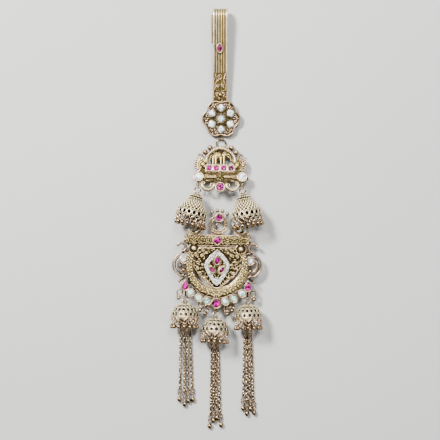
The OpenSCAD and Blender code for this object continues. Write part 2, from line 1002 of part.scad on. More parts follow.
module fringe_upper(i) {
    color(dark_gold)
        hang(cap_to[i], upper_leans[i])
            fringe(cone_hoops, cone_radius - bell_wall / 2, -cone_length - 0.4, cone_phases[i], 0.7 * upper_leans[i]);
}

module fringe_lower(i) {
    color(dark_gold)
        hang(bell_to[i], lower_leans[i])
            fringe(dome_hoops, dome_radius - bell_wall / 2, -dome_length - 0.4, 0.5, 0);
}

// Loose rings and links
module ring_top() {
    color(gold)
        jump_ring(in_frame(hook_frame, hook_eye), in_frame(upper_frame, upper_eye), top_ring);
}

module ring_upper(i) {
    color(gold)
        jump_ring(cap_from[i], cap_to[i], cap_ring);
}

module ring_lower(i) {
    color(gold)
        jump_ring(bell_from[i], bell_to[i], bell_ring);
}

// A rod with a ring at each end, from the eye inside an upper bell to the medallion's eye
function inner_eye(i) =
    let (down = cone_inner_eye, tip = bell_tip, lean = upper_leans[i])
    cap_to[i] + down * [cos(tip) * sin(lean), -cos(tip) * cos(lean), sin(tip)];

module link(i) {
    from = inner_eye(i);
    to = medallion_to[i];
    along = (to - from) / norm(to - from);
    reach = 0.6;
    a = from + reach * along;
    b = to - reach * along;
    color(gold)
        union() {
            jump_ring(from, a + reach * along, [reach, 0.2]);
            jump_ring(b - reach * along, to, [reach, 0.2]);
            rod(a + reach * along, b - reach * along, 0.25);
        }
}

// Small drops that hang beside the bells: the eye's place, the ring's size and the lean of the drop
row_hooks = [[4.9, -21.1], [8.3, -19.8], [17.9, -13.4]];

module row_drop(s, at, lean, scale_up) {
    from = in_frame(main_frame, [s * at[0], at[1], 0]);
    ring = scale_up * [1.15, 0.2];
    to = ring_far(from, ring, s * lean, from[2] - 0.5);
    jump_ring(from, to, ring);
    translate(to)
        rotate([-90 + 15, 0, s * lean])
            bead_drop(fringe_bead);
}

module row_drops(s) {
    color(dark_gold) {
        row_drop(s, row_hooks[0], 10, 1.2);
        row_drop(s, row_hooks[1], -6, 1);
        row_drop(s, row_hooks[2], 12, 1.3);
    }
}

// Tassels: each chain is swept along a route from inside its bell, over the rim and along the surface
module tube(route, radius) {
    n = len(route);
    rings = [for (i = [0:n - 1])
        let (
            ahead = route[min(i + 1, n - 1)] - route[max(i - 1, 0)],
            along = ahead / norm(ahead),
            across = cross(along, [0, 0, 1]) / norm(cross(along, [0, 0, 1])),
            up = cross(across, along)
        )
        for (k = [0:chain_sides - 1])
            let (a = 360 * (k + 0.5) / chain_sides)
            route[i] + radius * (cos(a) * across + sin(a) * up)];
    polyhedron(
        points = rings,
        faces = concat(
            [[for (k = [0:chain_sides - 1]) k]],
            [for (i = [0:n - 2]) for (k = [0:chain_sides - 1])
                let (j = (k + 1) % chain_sides)
                each [
                    [i * chain_sides + k, (i + 1) * chain_sides + k, (i + 1) * chain_sides + j],
                    [i * chain_sides + k, (i + 1) * chain_sides + j, i * chain_sides + j]
                ]],
            [[for (k = [0:chain_sides - 1]) n * chain_sides - 1 - k]]
        )
    );
}

// Places of a chain's ring centres; it lies higher over the beads at the sides of the fringe
function chain_route(top, lean, c) =
    let (
        stop = c[1] + chain_stop,
        aside = c[2] - (dome_length + 4) * sin(lean),
        over = 3.75 + 0.08 * aside * aside + c[3],
        low = floor_gap + chain_width / 2,
        start = [top[0], top[1], 0]
    )
    [
        start + [c[2], -3.3, 4.9 + c[3]],
        start + [c[2], -dome_length - 2, over + 0.2],
        start + [c[2], -dome_length - 5.3, over],
        start + [c[2], -dome_length - 7.6, low + 1.3 + c[3]],
        start + [c[2], -dome_length - 10, low + 0.1 + c[3]],
        start + [0.6 * c[2] + 0.4 * c[4], 0.4 * stop - 0.6 * dome_length - 5, low + 0.85 * c[3]],
        start + [c[4], stop, low]
    ];

module tassel(i, chains) {
    color(dark_gold)
        for (c = chains)
            tube(chain_route(bell_to[i], lower_leans[i], c), chain_width / 2);
}

// A long flat link from one end of its centre line to the other
module long_link(from, to, link) {
    along = to - from;
    reach = norm(along) / 2 - link[0];
    translate((from + to) / 2)
        rotate([0, 0, atan2(along[1], along[0])])
            rotate([0, -atan2(along[2], norm([along[0], along[1]])), 0])
                translate([0, 0, -link[1]])
                    linear_extrude(2 * link[1])
                        difference() {
                            slot(reach, link[0] + link[1]);
                            slot(reach, link[0] - link[1]);
                        }
}

module slot(reach, radius) {
    translate([-reach, -radius])
        square([2 * reach, 2 * radius]);
    for (s = [-1, 1])
        translate([s * reach, 0])
            circle(radius);
}

// The link and drop that end each chain
module tassel_beads(i, chains) {
    color(gold)
        translate([bell_to[i][0], bell_to[i][1], 0])
            for (c = chains) {
                low = floor_gap + end_bead;
                eye_at = [c[0], c[1] + end_bead + drop_neck + bead_eye[0], low];
                start = [c[4], c[1] + chain_stop - 0.3, floor_gap + chain_width / 2];
                long_link(start, eye_at, end_link);
                translate(eye_at)
                    eye(bead_eye);
                ball([c[0], c[1], low], end_bead);
                translate([c[0], c[1] + 0.5 * end_bead, low])
                    rotate([-90, 0, 0])
                        cylinder(h = 0.5 * end_bead + drop_neck, r1 = 0.85 * end_bead, r2 = 0.22);
            }
}

hook_clip();
upper_plaque();
main_plaque();
bell_upper(0);  // bell_upper_left
bell_upper(1);  // bell_upper_right
bell_lower(0);  // bell_lower_left
bell_lower(1);  // bell_lower_mid
bell_lower(2);  // bell_lower_right
fringe_upper(0);  // fringe_upper_left
fringe_upper(1);  // fringe_upper_right
fringe_lower(0);  // fringe_lower_left
fringe_lower(1);  // fringe_lower_mid
fringe_lower(2);  // fringe_lower_right
tassel(0, left_chains);  // tassel_left
tassel(1, mid_chains);  // tassel_mid
tassel(2, right_chains);  // tassel_right
tassel_beads(0, left_chains);  // tassel_beads_left
tassel_beads(1, mid_chains);  // tassel_beads_mid
tassel_beads(2, right_chains);  // tassel_beads_right
ring_top();
ring_upper(0);  // ring_upper_left
ring_upper(1);  // ring_upper_right
link(0);  // link_left
link(1);  // link_right
ring_lower(0);  // ring_lower_left
ring_lower(1);  // ring_lower_mid
ring_lower(2);  // ring_lower_right
row_drops(-1);  // row_drops_left
row_drops(1);  // row_drops_right
hook_ruby();
roundel_stone(1);  // roundel_stone_1
roundel_stone(2);  // roundel_stone_2
roundel_stone(3);  // roundel_stone_3
roundel_stone(4);  // roundel_stone_4
roundel_stone(5);  // roundel_stone_5
roundel_stone(6);  // roundel_stone_6
roundel_centre_stone();
bar_ruby(0);  // bar_ruby_1
bar_ruby(1);  // bar_ruby_2
bar_ruby(2);  // bar_ruby_3
bar_ruby(3);  // bar_ruby_4
end_stone(-1);  // end_stone_left
end_stone(1);  // end_stone_right
scroll_ruby();
crest_ruby();
band_ruby();
shield_drop(0);  // shield_drop_top
shield_drop(-1);  // shield_drop_left
shield_drop(1);  // shield_drop_right
side_pearl(-1);  // side_pearl_left
side_pearl(1);  // side_pearl_right
drop_ruby(-1);  // drop_ruby_left
drop_ruby(1);  // drop_ruby_right
row_stone(0);  // row_stone_1
row_stone(1);  // row_stone_2
row_stone(2);  // row_stone_3
row_stone(3);  // row_stone_4
row_stone(4);  // row_stone_5
row_stone(5);  // row_stone_6
row_ruby();
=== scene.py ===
"""Hair bun pin in antique gold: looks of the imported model, in its own frame.

Shapes are given in millimetres inside the frames of part.scad; the scene is in metres.
"""
import json
from math import cos, dist, hypot, pi, radians, sin, sqrt

import bpy
from mathutils import Matrix, Vector


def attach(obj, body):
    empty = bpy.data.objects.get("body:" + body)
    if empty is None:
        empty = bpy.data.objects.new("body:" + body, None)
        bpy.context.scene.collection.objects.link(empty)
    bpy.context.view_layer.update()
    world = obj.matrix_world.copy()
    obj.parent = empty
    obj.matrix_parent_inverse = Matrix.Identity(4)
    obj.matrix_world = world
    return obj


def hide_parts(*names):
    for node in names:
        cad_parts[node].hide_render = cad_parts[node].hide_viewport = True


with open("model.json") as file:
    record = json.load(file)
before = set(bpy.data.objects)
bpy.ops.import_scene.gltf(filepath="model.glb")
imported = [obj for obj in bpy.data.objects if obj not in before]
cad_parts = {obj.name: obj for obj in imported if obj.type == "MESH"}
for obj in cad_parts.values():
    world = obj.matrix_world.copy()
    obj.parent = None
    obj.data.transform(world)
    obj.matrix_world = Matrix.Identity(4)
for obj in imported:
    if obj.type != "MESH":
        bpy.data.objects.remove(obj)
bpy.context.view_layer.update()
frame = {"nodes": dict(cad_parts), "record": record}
nodes = frame["nodes"]
MM = 0.001


# ---- frames and main sizes, in millimetres and degrees, as in part.scad ----
def spin(angle, axis):
    return Matrix.Rotation(radians(angle), 4, axis)


def frame_matrix(x, y, z, tilt, turn):
    return Matrix.Translation((x, y, z)) @ spin(turn, "Z") @ spin(tilt, "X")


HOOK_TILT = 5.8
HOOK_LIFT = 0.6 * (1 - sin(radians(HOOK_TILT)) - cos(radians(HOOK_TILT)))
HOOK = frame_matrix(1.51, 88.92, HOOK_LIFT, HOOK_TILT, 0)
FOLD_RADIUS, FOLD_Y = 3.3, 13.1
UPPER = frame_matrix(1.63, 24.92, 3.86, -14, -0.9)
UPPER_TOP = 0.5  # front face of the upper plaque
MAIN = frame_matrix(-0.02, -22.08, 5.15, -1.6, -1.2)
TOP = 0.6  # front face of the main plaque
BELL_REST = 0.45  # height of a lying bell's lowest line
BELL_TIP = 5
BELL_WALL = 0.6
CONE_RADIUS, CONE_LENGTH = 7.5, 12.2
DOME_RADIUS, DOME_LENGTH, DOME_APEX = 6.7, 8.2, 0.45
UPPER_LEANS = [-15, 11]
LOWER_LEANS = [-2, -3, 1]
CONE_PHASES = [0.5, 0]
CONE_HOOPS, DOME_HOOPS = 16, 14
UPPER_RING, LOWER_RING = 1.45, 1.3  # radii of the jump rings
CHAIN_RADIUS = 0.65


def eye_height(radius, length):
    return BELL_REST + radius * cos(radians(BELL_TIP)) - length * sin(radians(BELL_TIP))


def ring_far(start, ring, lean, height):
    """Far side of a jump ring that leads from a point to one at another height."""
    reach = sqrt((2 * ring) ** 2 - (height - start.z) ** 2)
    return Vector((start.x + reach * sin(radians(lean)), start.y - reach * cos(radians(lean)), height))


CONE_HEIGHT = eye_height(CONE_RADIUS + 0.4, CONE_LENGTH)
DOME_HEIGHT = eye_height(DOME_RADIUS, DOME_LENGTH)
UPPER_EYES = [UPPER @ Vector((x, -9.6, 0)) for x in (-11.1, 11.1)]
MAIN_EYES = [MAIN @ Vector((x, y, 0)) for x, y in ((-15.3, -17), (0, -23.9), (15.6, -17))]
CONE_EYES = [ring_far(start, UPPER_RING, lean / 3, CONE_HEIGHT) for start, lean in zip(UPPER_EYES, UPPER_LEANS)]
DOME_EYES = [ring_far(start, LOWER_RING, lean, DOME_HEIGHT) for start, lean in zip(MAIN_EYES, LOWER_LEANS)]


def hang(at, lean):
    """Frame of a bell: its eye at the origin, its axis along -Z."""
    return Matrix.Translation(at) @ spin(lean, "Z") @ spin(-90 - BELL_TIP, "X")


# ---- points ----
def polar(at, radius, angle):
    """The point at an angle in degrees and a distance from another, at its height."""
    a = radians(angle)
    return at[0] + radius * cos(a), at[1] + radius * sin(a), at[2]


def turned(x, y, angle):
    c, s = cos(radians(angle)), sin(radians(angle))
    return x * c - y * s, x * s + y * c


def mirrored(s, point):
    """The point for s = 1, its mirror image for s = -1."""
    return s * point[0], point[1], point[2]


def flipped(s, angle):
    return angle if s > 0 else 180 - angle


def circle_points(at, radius, count, start=0, sweep=360):
    span = count if abs(sweep) >= 360 else count - 1
    return [polar(at, radius, start + sweep * i / span) for i in range(count)]


def lengths_along(points):
    """Distance of each point from the start of its line."""
    found = [0.0]
    for p, q in zip(points, points[1:]):
        found.append(found[-1] + dist(p, q))
    return found


def locate(lengths, s):
    """The segment at a distance along a line, and how far along the segment that is, 0 to 1."""
    s = max(0, min(lengths[-1], s))
    i = max(k for k in range(len(lengths) - 1) if lengths[k] <= s + 1e-9)
    return i, (s - lengths[i]) / (lengths[i + 1] - lengths[i])


def line_points(outline, spacing, z):
    """Points at an even spacing along a closed line of (x, y)."""
    line = outline + outline[:1]
    lengths = lengths_along(line)
    count = round(lengths[-1] / spacing)
    found = []
    for k in range(count):
        i, f = locate(lengths, k * lengths[-1] / count)
        (x0, y0), (x1, y1) = line[i:i + 2]
        found.append((x0 + (x1 - x0) * f, y0 + (y1 - y0) * f, z))
    return found


def ring_faces(rings, size, closed=False, flip=False, first=0):
    """Quads between rings of as many points, which follow each other in a list of points."""
    faces = []
    for i in range(rings if closed else rings - 1):
        a, b = first + i * size, first + (i + 1) % rings * size
        faces += [(a + k, b + k, b + (k + 1) % size, a + (k + 1) % size) for k in range(size)]
    return [(a, d, c, b) for a, b, c, d in faces] if flip else faces


def unit_ball(segments, rings):
    verts = [(0, 0, 1)]
    for r in range(1, rings):
        a = pi * r / rings
        verts += circle_points((0, 0, cos(a)), sin(a), segments)
    verts.append((0, 0, -1))
    last = 1 + (rings - 2) * segments
    faces = [(0, 1 + s, 1 + (s + 1) % segments) for s in range(segments)]
    faces += ring_faces(rings - 1, segments, first=1)
    faces += [(last + s, len(verts) - 1, last + (s + 1) % segments) for s in range(segments)]
    return verts, faces


BALL = unit_ball(10, 6)
BIG_BALL = unit_ball(16, 10)
SHADED_WALL_TONE = 2  # index of the material on the inner walls of a pierced band: painted shade inside the bell, seen through its holes


class Build:
    """Collects shapes in one frame and turns them into one piece; tone picks the material of what comes next."""

    def __init__(self, matrix=Matrix.Identity(4)):
        self.matrix = matrix
        self.verts = []
        self.faces = []
        self.tone = 0
        self.tones = []

    def add(self, verts, faces):
        k = len(self.verts)
        self.verts += [self.matrix @ Vector(v) for v in verts]
        self.faces += [tuple(k + i for i in f) for f in faces]
        self.tones += [self.tone] * len(faces)

    def ball(self, at, radius, shape=BALL):
        self.blob(at, (radius, radius, radius), 0, shape)

    def blob(self, at, radii, turn=0, shape=BALL):
        c, s = cos(radians(turn)), sin(radians(turn))
        verts = []
        for v in shape[0]:
            x, y, z = v[0] * radii[0], v[1] * radii[1], v[2] * radii[2]
            verts.append((at[0] + x * c - y * s, at[1] + x * s + y * c, at[2] + z))
        self.add(verts, shape[1])

    def beads(self, points, radius):
        for p in points:
            self.ball(p, radius)

    def tube(self, points, radius, sides=6, closed=False):
        """A wire through points; radius is a number, or a list with one for each point."""
        pts = [Vector(p) for p in points]
        n = len(pts)
        radii = radius if isinstance(radius, list) else [radius] * n
        up = None
        verts = []
        for i, p in enumerate(pts):
            ahead = pts[(i + 1) % n] if closed or i < n - 1 else p
            behind = pts[i - 1] if closed or i > 0 else p
            along = (ahead - behind).normalized()
            if up is None:
                up = Vector((0, 0, 1)) if abs(along.z) < 0.9 else Vector((0, 1, 0))
            up = (up - along * up.dot(along)).normalized()
            side = along.cross(up)
            for k in range(sides):
                a = 2 * pi * (k + 0.5) / sides
                verts.append(p + radii[i] * (cos(a) * side + sin(a) * up))
        faces = ring_faces(n, sides, closed)
        if not closed:
            faces.append(tuple(range(sides)))
            faces.append(tuple(n * sides - 1 - k for k in range(sides)))
        self.add(verts, faces)

    def arc(self, at, radius, wire, start=0, sweep=360, steps=None):
        closed = abs(sweep) >= 360
        steps = steps or max(6, int(abs(sweep) / 15))
        count = steps if closed else steps + 1
        self.tube([polar(at, radius, start + sweep * i / steps) for i in range(count)], wire, closed=closed)

    def upright_ring(self, at, radius, wire, turn, steps):
        """A ring whose axis lies in the XY plane, at an angle to +X."""
        c, s = cos(radians(turn)), sin(radians(turn))
        flat = circle_points((0, 0, 0), radius, steps)
        self.tube([(at[0] - u * s, at[1] + u * c, at[2] + v) for u, v, _ in flat], wire, closed=True)

    def spiral(self, at, outer, inner, start, sweep, wire, flip):
        """A wire that winds inwards, thins and ends in a ball; flip is -1 for its mirror image."""
        steps = max(8, int(abs(sweep) / 24))
        pts, radii = [], []
        for i in range(steps + 1):
            t = i / steps
            x, y, z = polar(at, outer + (inner - outer) * t, start + sweep * t)
            pts.append((flip * x, y, z + 0.15 * t))
            radii.append(wire * (1 - 0.25 * t))
        self.tube(pts, radii)
        self.ball(pts[-1], wire * 1.5)

    def revolve(self, profile):
        """A solid of revolution about Z; profile is a closed line of (radius, height)."""
        steps = 48
        verts = [polar((0, 0, z), r, 360 * i / steps) for i in range(steps) for r, z in profile]
        self.add(verts, ring_faces(steps, len(profile), True))

    def ribbon(self, outer, inner, low, high):
        """A flat band between two lines of as many points."""
        lines = ((outer, low), (outer, high), (inner, high), (inner, low))
        self.add([(x, y, z) for line, z in lines for x, y in line], ring_faces(4, len(outer), True, True))

    def gem(self, at, radius, height):
        sides = 8
        rings = [(0.9, -0.25), (1, 0.1), (0.62, 1)]
        verts = [polar((at[0], at[1], at[2] + height * z), radius * f, 360 * (k + 0.5) / sides)
                 for f, z in rings for k in range(sides)]
        ends = [tuple(sides - 1 - k for k in range(sides)), tuple(2 * sides + k for k in range(sides))]
        self.add(verts, ends + ring_faces(3, sides, flip=True))

    def pierced(self, rows, cells, offset, hole, wall):
        """A band of revolution with an oval hole of two half sizes in each cell; rows holds (radius, height)."""
        lengths = lengths_along(rows)
        total = lengths[-1]

        def place(angle, t, depth):
            i, f = locate(lengths, t * total)
            (r0, z0), (r1, z1) = rows[i:i + 2]
            nr, nz = -(z1 - z0), r1 - r0
            size = hypot(nr, nz)
            r = r0 + (r1 - r0) * f - depth * nr / size
            z = z0 + (z1 - z0) * f - depth * nz / size
            return (r * cos(angle), r * sin(angle), z)

        step = 2 * pi / cells
        middle_radius = sum(r for r, z in rows) / len(rows)
        edge = [(0.5, 0), (0.5, 0.5), (0, 0.5), (-0.5, 0.5), (-0.5, 0), (-0.5, -0.5), (0, -0.5), (0.5, -0.5)]
        for j in range(cells):
            middle = (j + offset) * step
            verts = []
            for depth in (0, wall):
                verts += [place(middle + u * step, 0.5 + v, depth) for u, v in edge]
                for k in range(8):
                    a = k * pi / 4
                    f = 0.8 if k % 2 else 1
                    verts.append(place(middle + f * hole[0] * cos(a) / middle_radius,
                                       0.5 + f * hole[1] * sin(a) / total, depth))
            # inner wall, wall of the hole, and the band's two ends, which take the painted shade of the bell's dark
            # inside
            shaded_walls = ring_faces(2, 8, first=16)
            shaded_walls += [(8 + k, 8 + (k + 1) % 8, 24 + (k + 1) % 8, 24 + k) for k in range(8)]
            shaded_walls += [(k, 16 + k, 17 + k, 1 + k) for k in (1, 2, 5, 6)]
            self.add(verts, ring_faces(2, 8, flip=True) + shaded_walls)
            self.tones[-len(shaded_walls):] = [SHADED_WALL_TONE] * len(shaded_walls)

    def piece(self, name, looks, replaced=(), slot="antique_gold", smooth=True):
        """looks is one material, or a tuple with one for each tone."""
        mesh = bpy.data.meshes.new(name)
        mesh.from_pydata([v * MM for v in self.verts], [], self.faces)
        for look in looks if isinstance(looks, tuple) else (looks,):
            mesh.materials.append(look)
        mesh.polygons.foreach_set("material_index", self.tones)
        mesh.validate()
        for polygon in mesh.polygons:
            polygon.use_smooth = smooth
        if smooth:
            mesh.set_sharp_from_angle(angle=radians(65))
        obj = bpy.data.objects.new(name, mesh)
        bpy.context.scene.collection.objects.link(obj)
        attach(obj, "root")
        if replaced:
            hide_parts(*replaced)


# ---- materials ----
def material(name):
    m = bpy.data.materials.new(name)
    m.use_nodes = True
    tree = m.node_tree
    tree.nodes.clear()
    out = tree.nodes.new("ShaderNodeOutputMaterial")
    shader = tree.nodes.new("ShaderNodeBsdfPrincipled")
    tree.links.new(shader.outputs["BSDF"], out.inputs["Surface"])
    return m, tree, shader


def feed(tree, node, inputs):
    """Links an output to each named input of a node, or sets the input to a number or a colour."""
    for name, value in inputs.items():
        if isinstance(value, bpy.types.NodeSocket):
            tree.links.new(value, node.inputs[name])
        else:
            node.inputs[name].default_value = value


def maths(tree, operation, *terms, clamp=False):
    node = tree.nodes.new("ShaderNodeMath")
    node.operation = operation
    node.use_clamp = clamp
    feed(tree, node, dict(enumerate(terms)))
    return node.outputs["Value"]


def mapped(tree, value, from_min, from_max, to_min=0, to_max=1):
    node = tree.nodes.new("ShaderNodeMapRange")
    feed(tree, node, {"Value": value, "From Min": from_min, "From Max": from_max, "To Min": to_min, "To Max": to_max})
    return node.outputs["Result"]


def blend(tree, factor, first, second):
    node = tree.nodes.new("ShaderNodeMix")
    node.data_type = "RGBA"
    feed(tree, node, {"Factor": factor, 6: first, 7: second})
    return node.outputs[2]


def ramp(tree, value, stops):
    node = tree.nodes.new("ShaderNodeValToRGB")
    while len(node.color_ramp.elements) < len(stops):
        node.color_ramp.elements.new(0.5)
    for element, (at, colour) in zip(node.color_ramp.elements, stops):
        element.position = at
        element.color = (*colour, 1)
    feed(tree, node, {"Fac": value})
    return node.outputs["Color"]


def object_coords(tree):
    return tree.nodes.new("ShaderNodeTexCoord").outputs["Object"]


def noise(tree, coords, scale, detail):
    node = tree.nodes.new("ShaderNodeTexNoise")
    feed(tree, node, {"Scale": scale, "Detail": detail, "Vector": coords})
    return node.outputs["Fac"]


def voronoi(tree, coords, scale, feature="F1"):
    node = tree.nodes.new("ShaderNodeTexVoronoi")
    node.feature = feature
    feed(tree, node, {"Scale": scale, "Vector": coords})
    return node


def occlusion(tree, distance, inside):
    node = tree.nodes.new("ShaderNodeAmbientOcclusion")
    node.samples = 8
    node.inside = inside
    node.only_local = inside
    feed(tree, node, {"Distance": distance * MM})
    return node.outputs["AO"]


def bump(tree, height, strength, distance, under=None, invert=False):
    node = tree.nodes.new("ShaderNodeBump")
    node.invert = invert
    feed(tree, node, {"Strength": strength, "Distance": distance * MM, "Height": height})
    if under:
        feed(tree, node, {"Normal": under})
    return node.outputs["Normal"]


def ground_shade(tree, coords, plane):
    """Mask of painted shade: 1 on the sunk ground of a plate, 0 on what stands over it; plane is its frame and its
    top in millimetres.
    """
    matrix, top = plane
    normal = (matrix.to_3x3() @ Vector((0, 0, 1))).normalized()
    level = normal.dot(matrix @ Vector((0, 0, top)))
    dot = tree.nodes.new("ShaderNodeVectorMath")
    dot.operation = "DOT_PRODUCT"
    feed(tree, dot, {0: coords, 1: normal / MM})
    away = maths(tree, "SUBTRACT", dot.outputs["Value"], level - 0.08)
    return mapped(tree, maths(tree, "ABSOLUTE", away), 0.14, 0.3, 1, 0)


# darkest tone of the gold: the painted shade deep in recesses
RECESS_SHADE = (0.014, 0.008, 0.004)
# colour of the painted shade on a plate's sunk ground
SUNK_SHADE = (0.035, 0.024, 0.01, 1)
PATINA_SCALE, GRAIN_SCALE, PUNCH_SCALE = 420, 2600, 1150
# reach of the occlusion that paints shade in recesses, and of the inner one that paints highlight on edges
RECESS_REACH, EDGE_REACH = 1.5, 0.45


def gold(name, bright, middle, rough, chased=0.0, dark=RECESS_SHADE, plane=None, hollow=0, mottle=0.4):
    """Antique gold plate: painted shade in the recesses, from ambient occlusion, and painted highlight with rubbed
    wear on edges and thin wires, with patina and a fine grain.

    chased is the strength of its punched cells; plane paints shade on a plate's sunk ground, hollow paints shade deep
    in a bell.
    """
    m, tree, shader = material(name)
    coords = object_coords(tree)
    patina = noise(tree, coords, PATINA_SCALE, 4)
    # ambient occlusion: painted shade, darker where the surface is hemmed in
    light = occlusion(tree, RECESS_REACH, False)
    if hollow:
        light = maths(tree, "MULTIPLY", light, occlusion(tree, hollow, False))
    height = maths(tree, "ADD", light, maths(tree, "MULTIPLY_ADD", patina, mottle, -mottle / 2))
    # colour runs from the painted recess shade up to the middle tone, with patina mottle
    colour = ramp(tree, height, [(0.3, dark), (0.62, tuple(0.42 * c for c in middle)), (0.98, middle)])
    # bright where inside occlusion is low, on edges and thin wires: painted highlight, also rubbed wear
    rubbed_and_highlit = mapped(tree, occlusion(tree, EDGE_REACH, True), 0.92, 0.3)
    colour = blend(tree, maths(tree, "MULTIPLY", rubbed_and_highlit, height, clamp=True), colour, (*bright, 1))
    # painted shade on the sunk ground of a plate
    if plane:
        colour = blend(tree, ground_shade(tree, coords, plane), colour, SUNK_SHADE)
    roughness = mapped(tree, patina, 0, 1, rough - 0.08, rough + 0.14)
    normal = bump(tree, noise(tree, coords, GRAIN_SCALE, 2), 0.25, 0.06)
    if chased:
        punched = voronoi(tree, coords, PUNCH_SCALE, "SMOOTH_F1").outputs["Distance"]
        normal = bump(tree, punched, chased, 0.35, normal, True)
    feed(tree, shader, {"Base Color": colour, "Metallic": 1, "Roughness": roughness, "Normal": normal})
    return m


def stone(name, deep, middle, light, facet, gloss=0.5):
    """A cut stone over foil, its facets painted in deep, middle and light tones as painted reflections, under a
    polished coat.
    """
    m, tree, shader = material(name)
    cells = voronoi(tree, object_coords(tree), facet)
    colour = ramp(tree, cells.outputs["Color"], [(0.2, deep), (0.5, middle), (0.8, light)])
    feed(tree, shader, {
        "Base Color": colour, "Normal": bump(tree, cells.outputs["Distance"], 0.4, 0.3), "Roughness": 0.12,
        "Specular IOR Level": gloss, "Coat Weight": gloss / 2, "Coat Roughness": 0.04, "IOR": 1.6,
    })
    return m


BRIGHT = (0.82, 0.63, 0.32)
GOLD = gold("antique_gold", BRIGHT, (0.3, 0.215, 0.08), 0.27)
CHASED = gold("chased_gold", (0.78, 0.61, 0.32), (0.3, 0.22, 0.085), 0.28, 0.3)
WIRE = gold("bright_wire", (0.86, 0.61, 0.43), (0.4, 0.27, 0.15), 0.29, dark=(0.02, 0.011, 0.006))
CHAIN = gold("chain_gold", (0.74, 0.55, 0.36), (0.3, 0.21, 0.1), 0.2)
DUSKY = gold("dusky_gold", (0.7, 0.51, 0.28), (0.34, 0.23, 0.09), 0.28)
SILVER = gold("silvered", (0.8, 0.78, 0.7), (0.22, 0.21, 0.17), 0.26, dark=(0.02, 0.02, 0.015))
# its deep occlusion (hollow) paints shade in the depths of the bell
BELL_GOLD = gold("bell_gold", (1.0, 0.85, 0.55), (0.5, 0.39, 0.18), 0.36, 0.3, hollow=6)
# a dark copy of the bell gold: painted shade on the ground between the grains, leaves and rims
BELL_SHADED_GROUND = gold("bell_shaded_ground", (0.3, 0.22, 0.1), (0.07, 0.05, 0.02), 0.4, 0.45)
# a darker copy of the gold: painted shade on the clip and roundel under the bright ribs and filigree
HOOK_GOLD = gold("hook_gold", (0.4, 0.3, 0.13), (0.2, 0.14, 0.05), 0.3, mottle=0.12)
# plates whose sunk ground gets painted shade; the main plate is also a darker copy of the gold under its brighter
# filigree
UPPER_GOLD = gold("upper_gold", BRIGHT, (0.28, 0.2, 0.07), 0.3, 0.3, plane=(UPPER, UPPER_TOP))
MAIN_GOLD = gold("main_gold", (0.5, 0.38, 0.18), (0.2, 0.15, 0.055), 0.3, 0.3, plane=(MAIN, TOP))
# a near-black gold: painted shade, put in gaps, grooves and hollows that lie in shade
SHADE = gold("painted_shade", (0.12, 0.08, 0.04), (0.03, 0.02, 0.01), 0.4)
# a lighter copy of the gold: painted highlight on the ribs
RIB = gold("rib_gold", (0.95, 0.8, 0.5), (0.6, 0.46, 0.22), 0.3, mottle=0.1)
CAST = gold("cast_gold", (0.66, 0.5, 0.25), (0.26, 0.19, 0.07), 0.3, 0.2)
SLEEVE = gold("sleeve_gold", (0.6, 0.42, 0.27), (0.2, 0.13, 0.07), 0.18)
BEAD = gold("bead_gold", (0.8, 0.58, 0.37), (0.3, 0.2, 0.1), 0.19)
# a darker copy of the wire gold: painted shade that sets the thin rings off the pale floor
RING = gold("ring_gold", (0.4, 0.27, 0.16), (0.16, 0.1, 0.05), 0.2)
# a pale gold, light even in its recesses: painted light on the round bosses
DOME = gold("boss_gold", (0.95, 0.8, 0.5), (0.8, 0.64, 0.36), 0.42)
RUBY = stone("ruby", (0.02, 0.0, 0.01), (0.17, 0.001, 0.08), (0.45, 0.01, 0.27), 900, 0.25)
MILK = stone("white_stone", (0.2, 0.26, 0.32), (0.6, 0.68, 0.74), (1.0, 1.0, 1.0), 800)
MINT = stone("mint_stone", (0.1, 0.28, 0.22), (0.42, 0.72, 0.6), (0.9, 1.0, 0.96), 800)
CLEAR = stone("clear_stone", (0.25, 0.25, 0.2), (0.68, 0.68, 0.58), (1.0, 1.0, 0.93), 1300)

SLOT_OF = {row["node"]: row["material_slot"] for row in frame["record"]["subparts"]}
LOOK_OF_SLOT = {"antique_gold": GOLD, "dark_gold": DUSKY, "ruby": RUBY, "white_stone": MILK}
LOOK_OF_START = {
    "hook_clip": HOOK_GOLD, "upper_plaque": UPPER_GOLD, "main_plaque": MAIN_GOLD, "ring_": RING, "link_": RING,
    "tassel_beads_": CHAIN, "fringe_": BEAD, "row_drops_": BEAD, "row_stone_": MINT,
}
for node, obj in nodes.items():
    special = [look for start, look in LOOK_OF_START.items() if node.startswith(start)]
    obj.data.materials.clear()
    obj.data.materials.append(special[0] if special else LOOK_OF_SLOT[SLOT_OF[node]])


# ---- outlines and rims of the settings ----
def drop_line(half_width, half_height, grown):
    """A drop with its point up, grown to all sides."""
    line = []
    for i in range(16):
        a = radians(22.5 * i)
        x, y = half_width * sin(a) * abs(sin(a / 2)) ** 1.2, half_height * cos(a)
        f = 1 + grown / hypot(x, y)
        line.append((x * f, y * f))
    return line


def square_line(half, grown):
    side = half + grown
    cut = 0.75 * side
    return [(side, cut), (cut, side), (-cut, side), (-side, cut), (-side, -cut), (-cut, -side), (cut, -side),
            (side, -cut)]


def rim(b, outline, at, turn, z, wire):
    """A wire along an outline that is turned and then moved."""
    pts = [turned(x, y, turn) for x, y in outline]
    b.tube([(at[0] + x, at[1] + y, z) for x, y in pts], wire, closed=True)


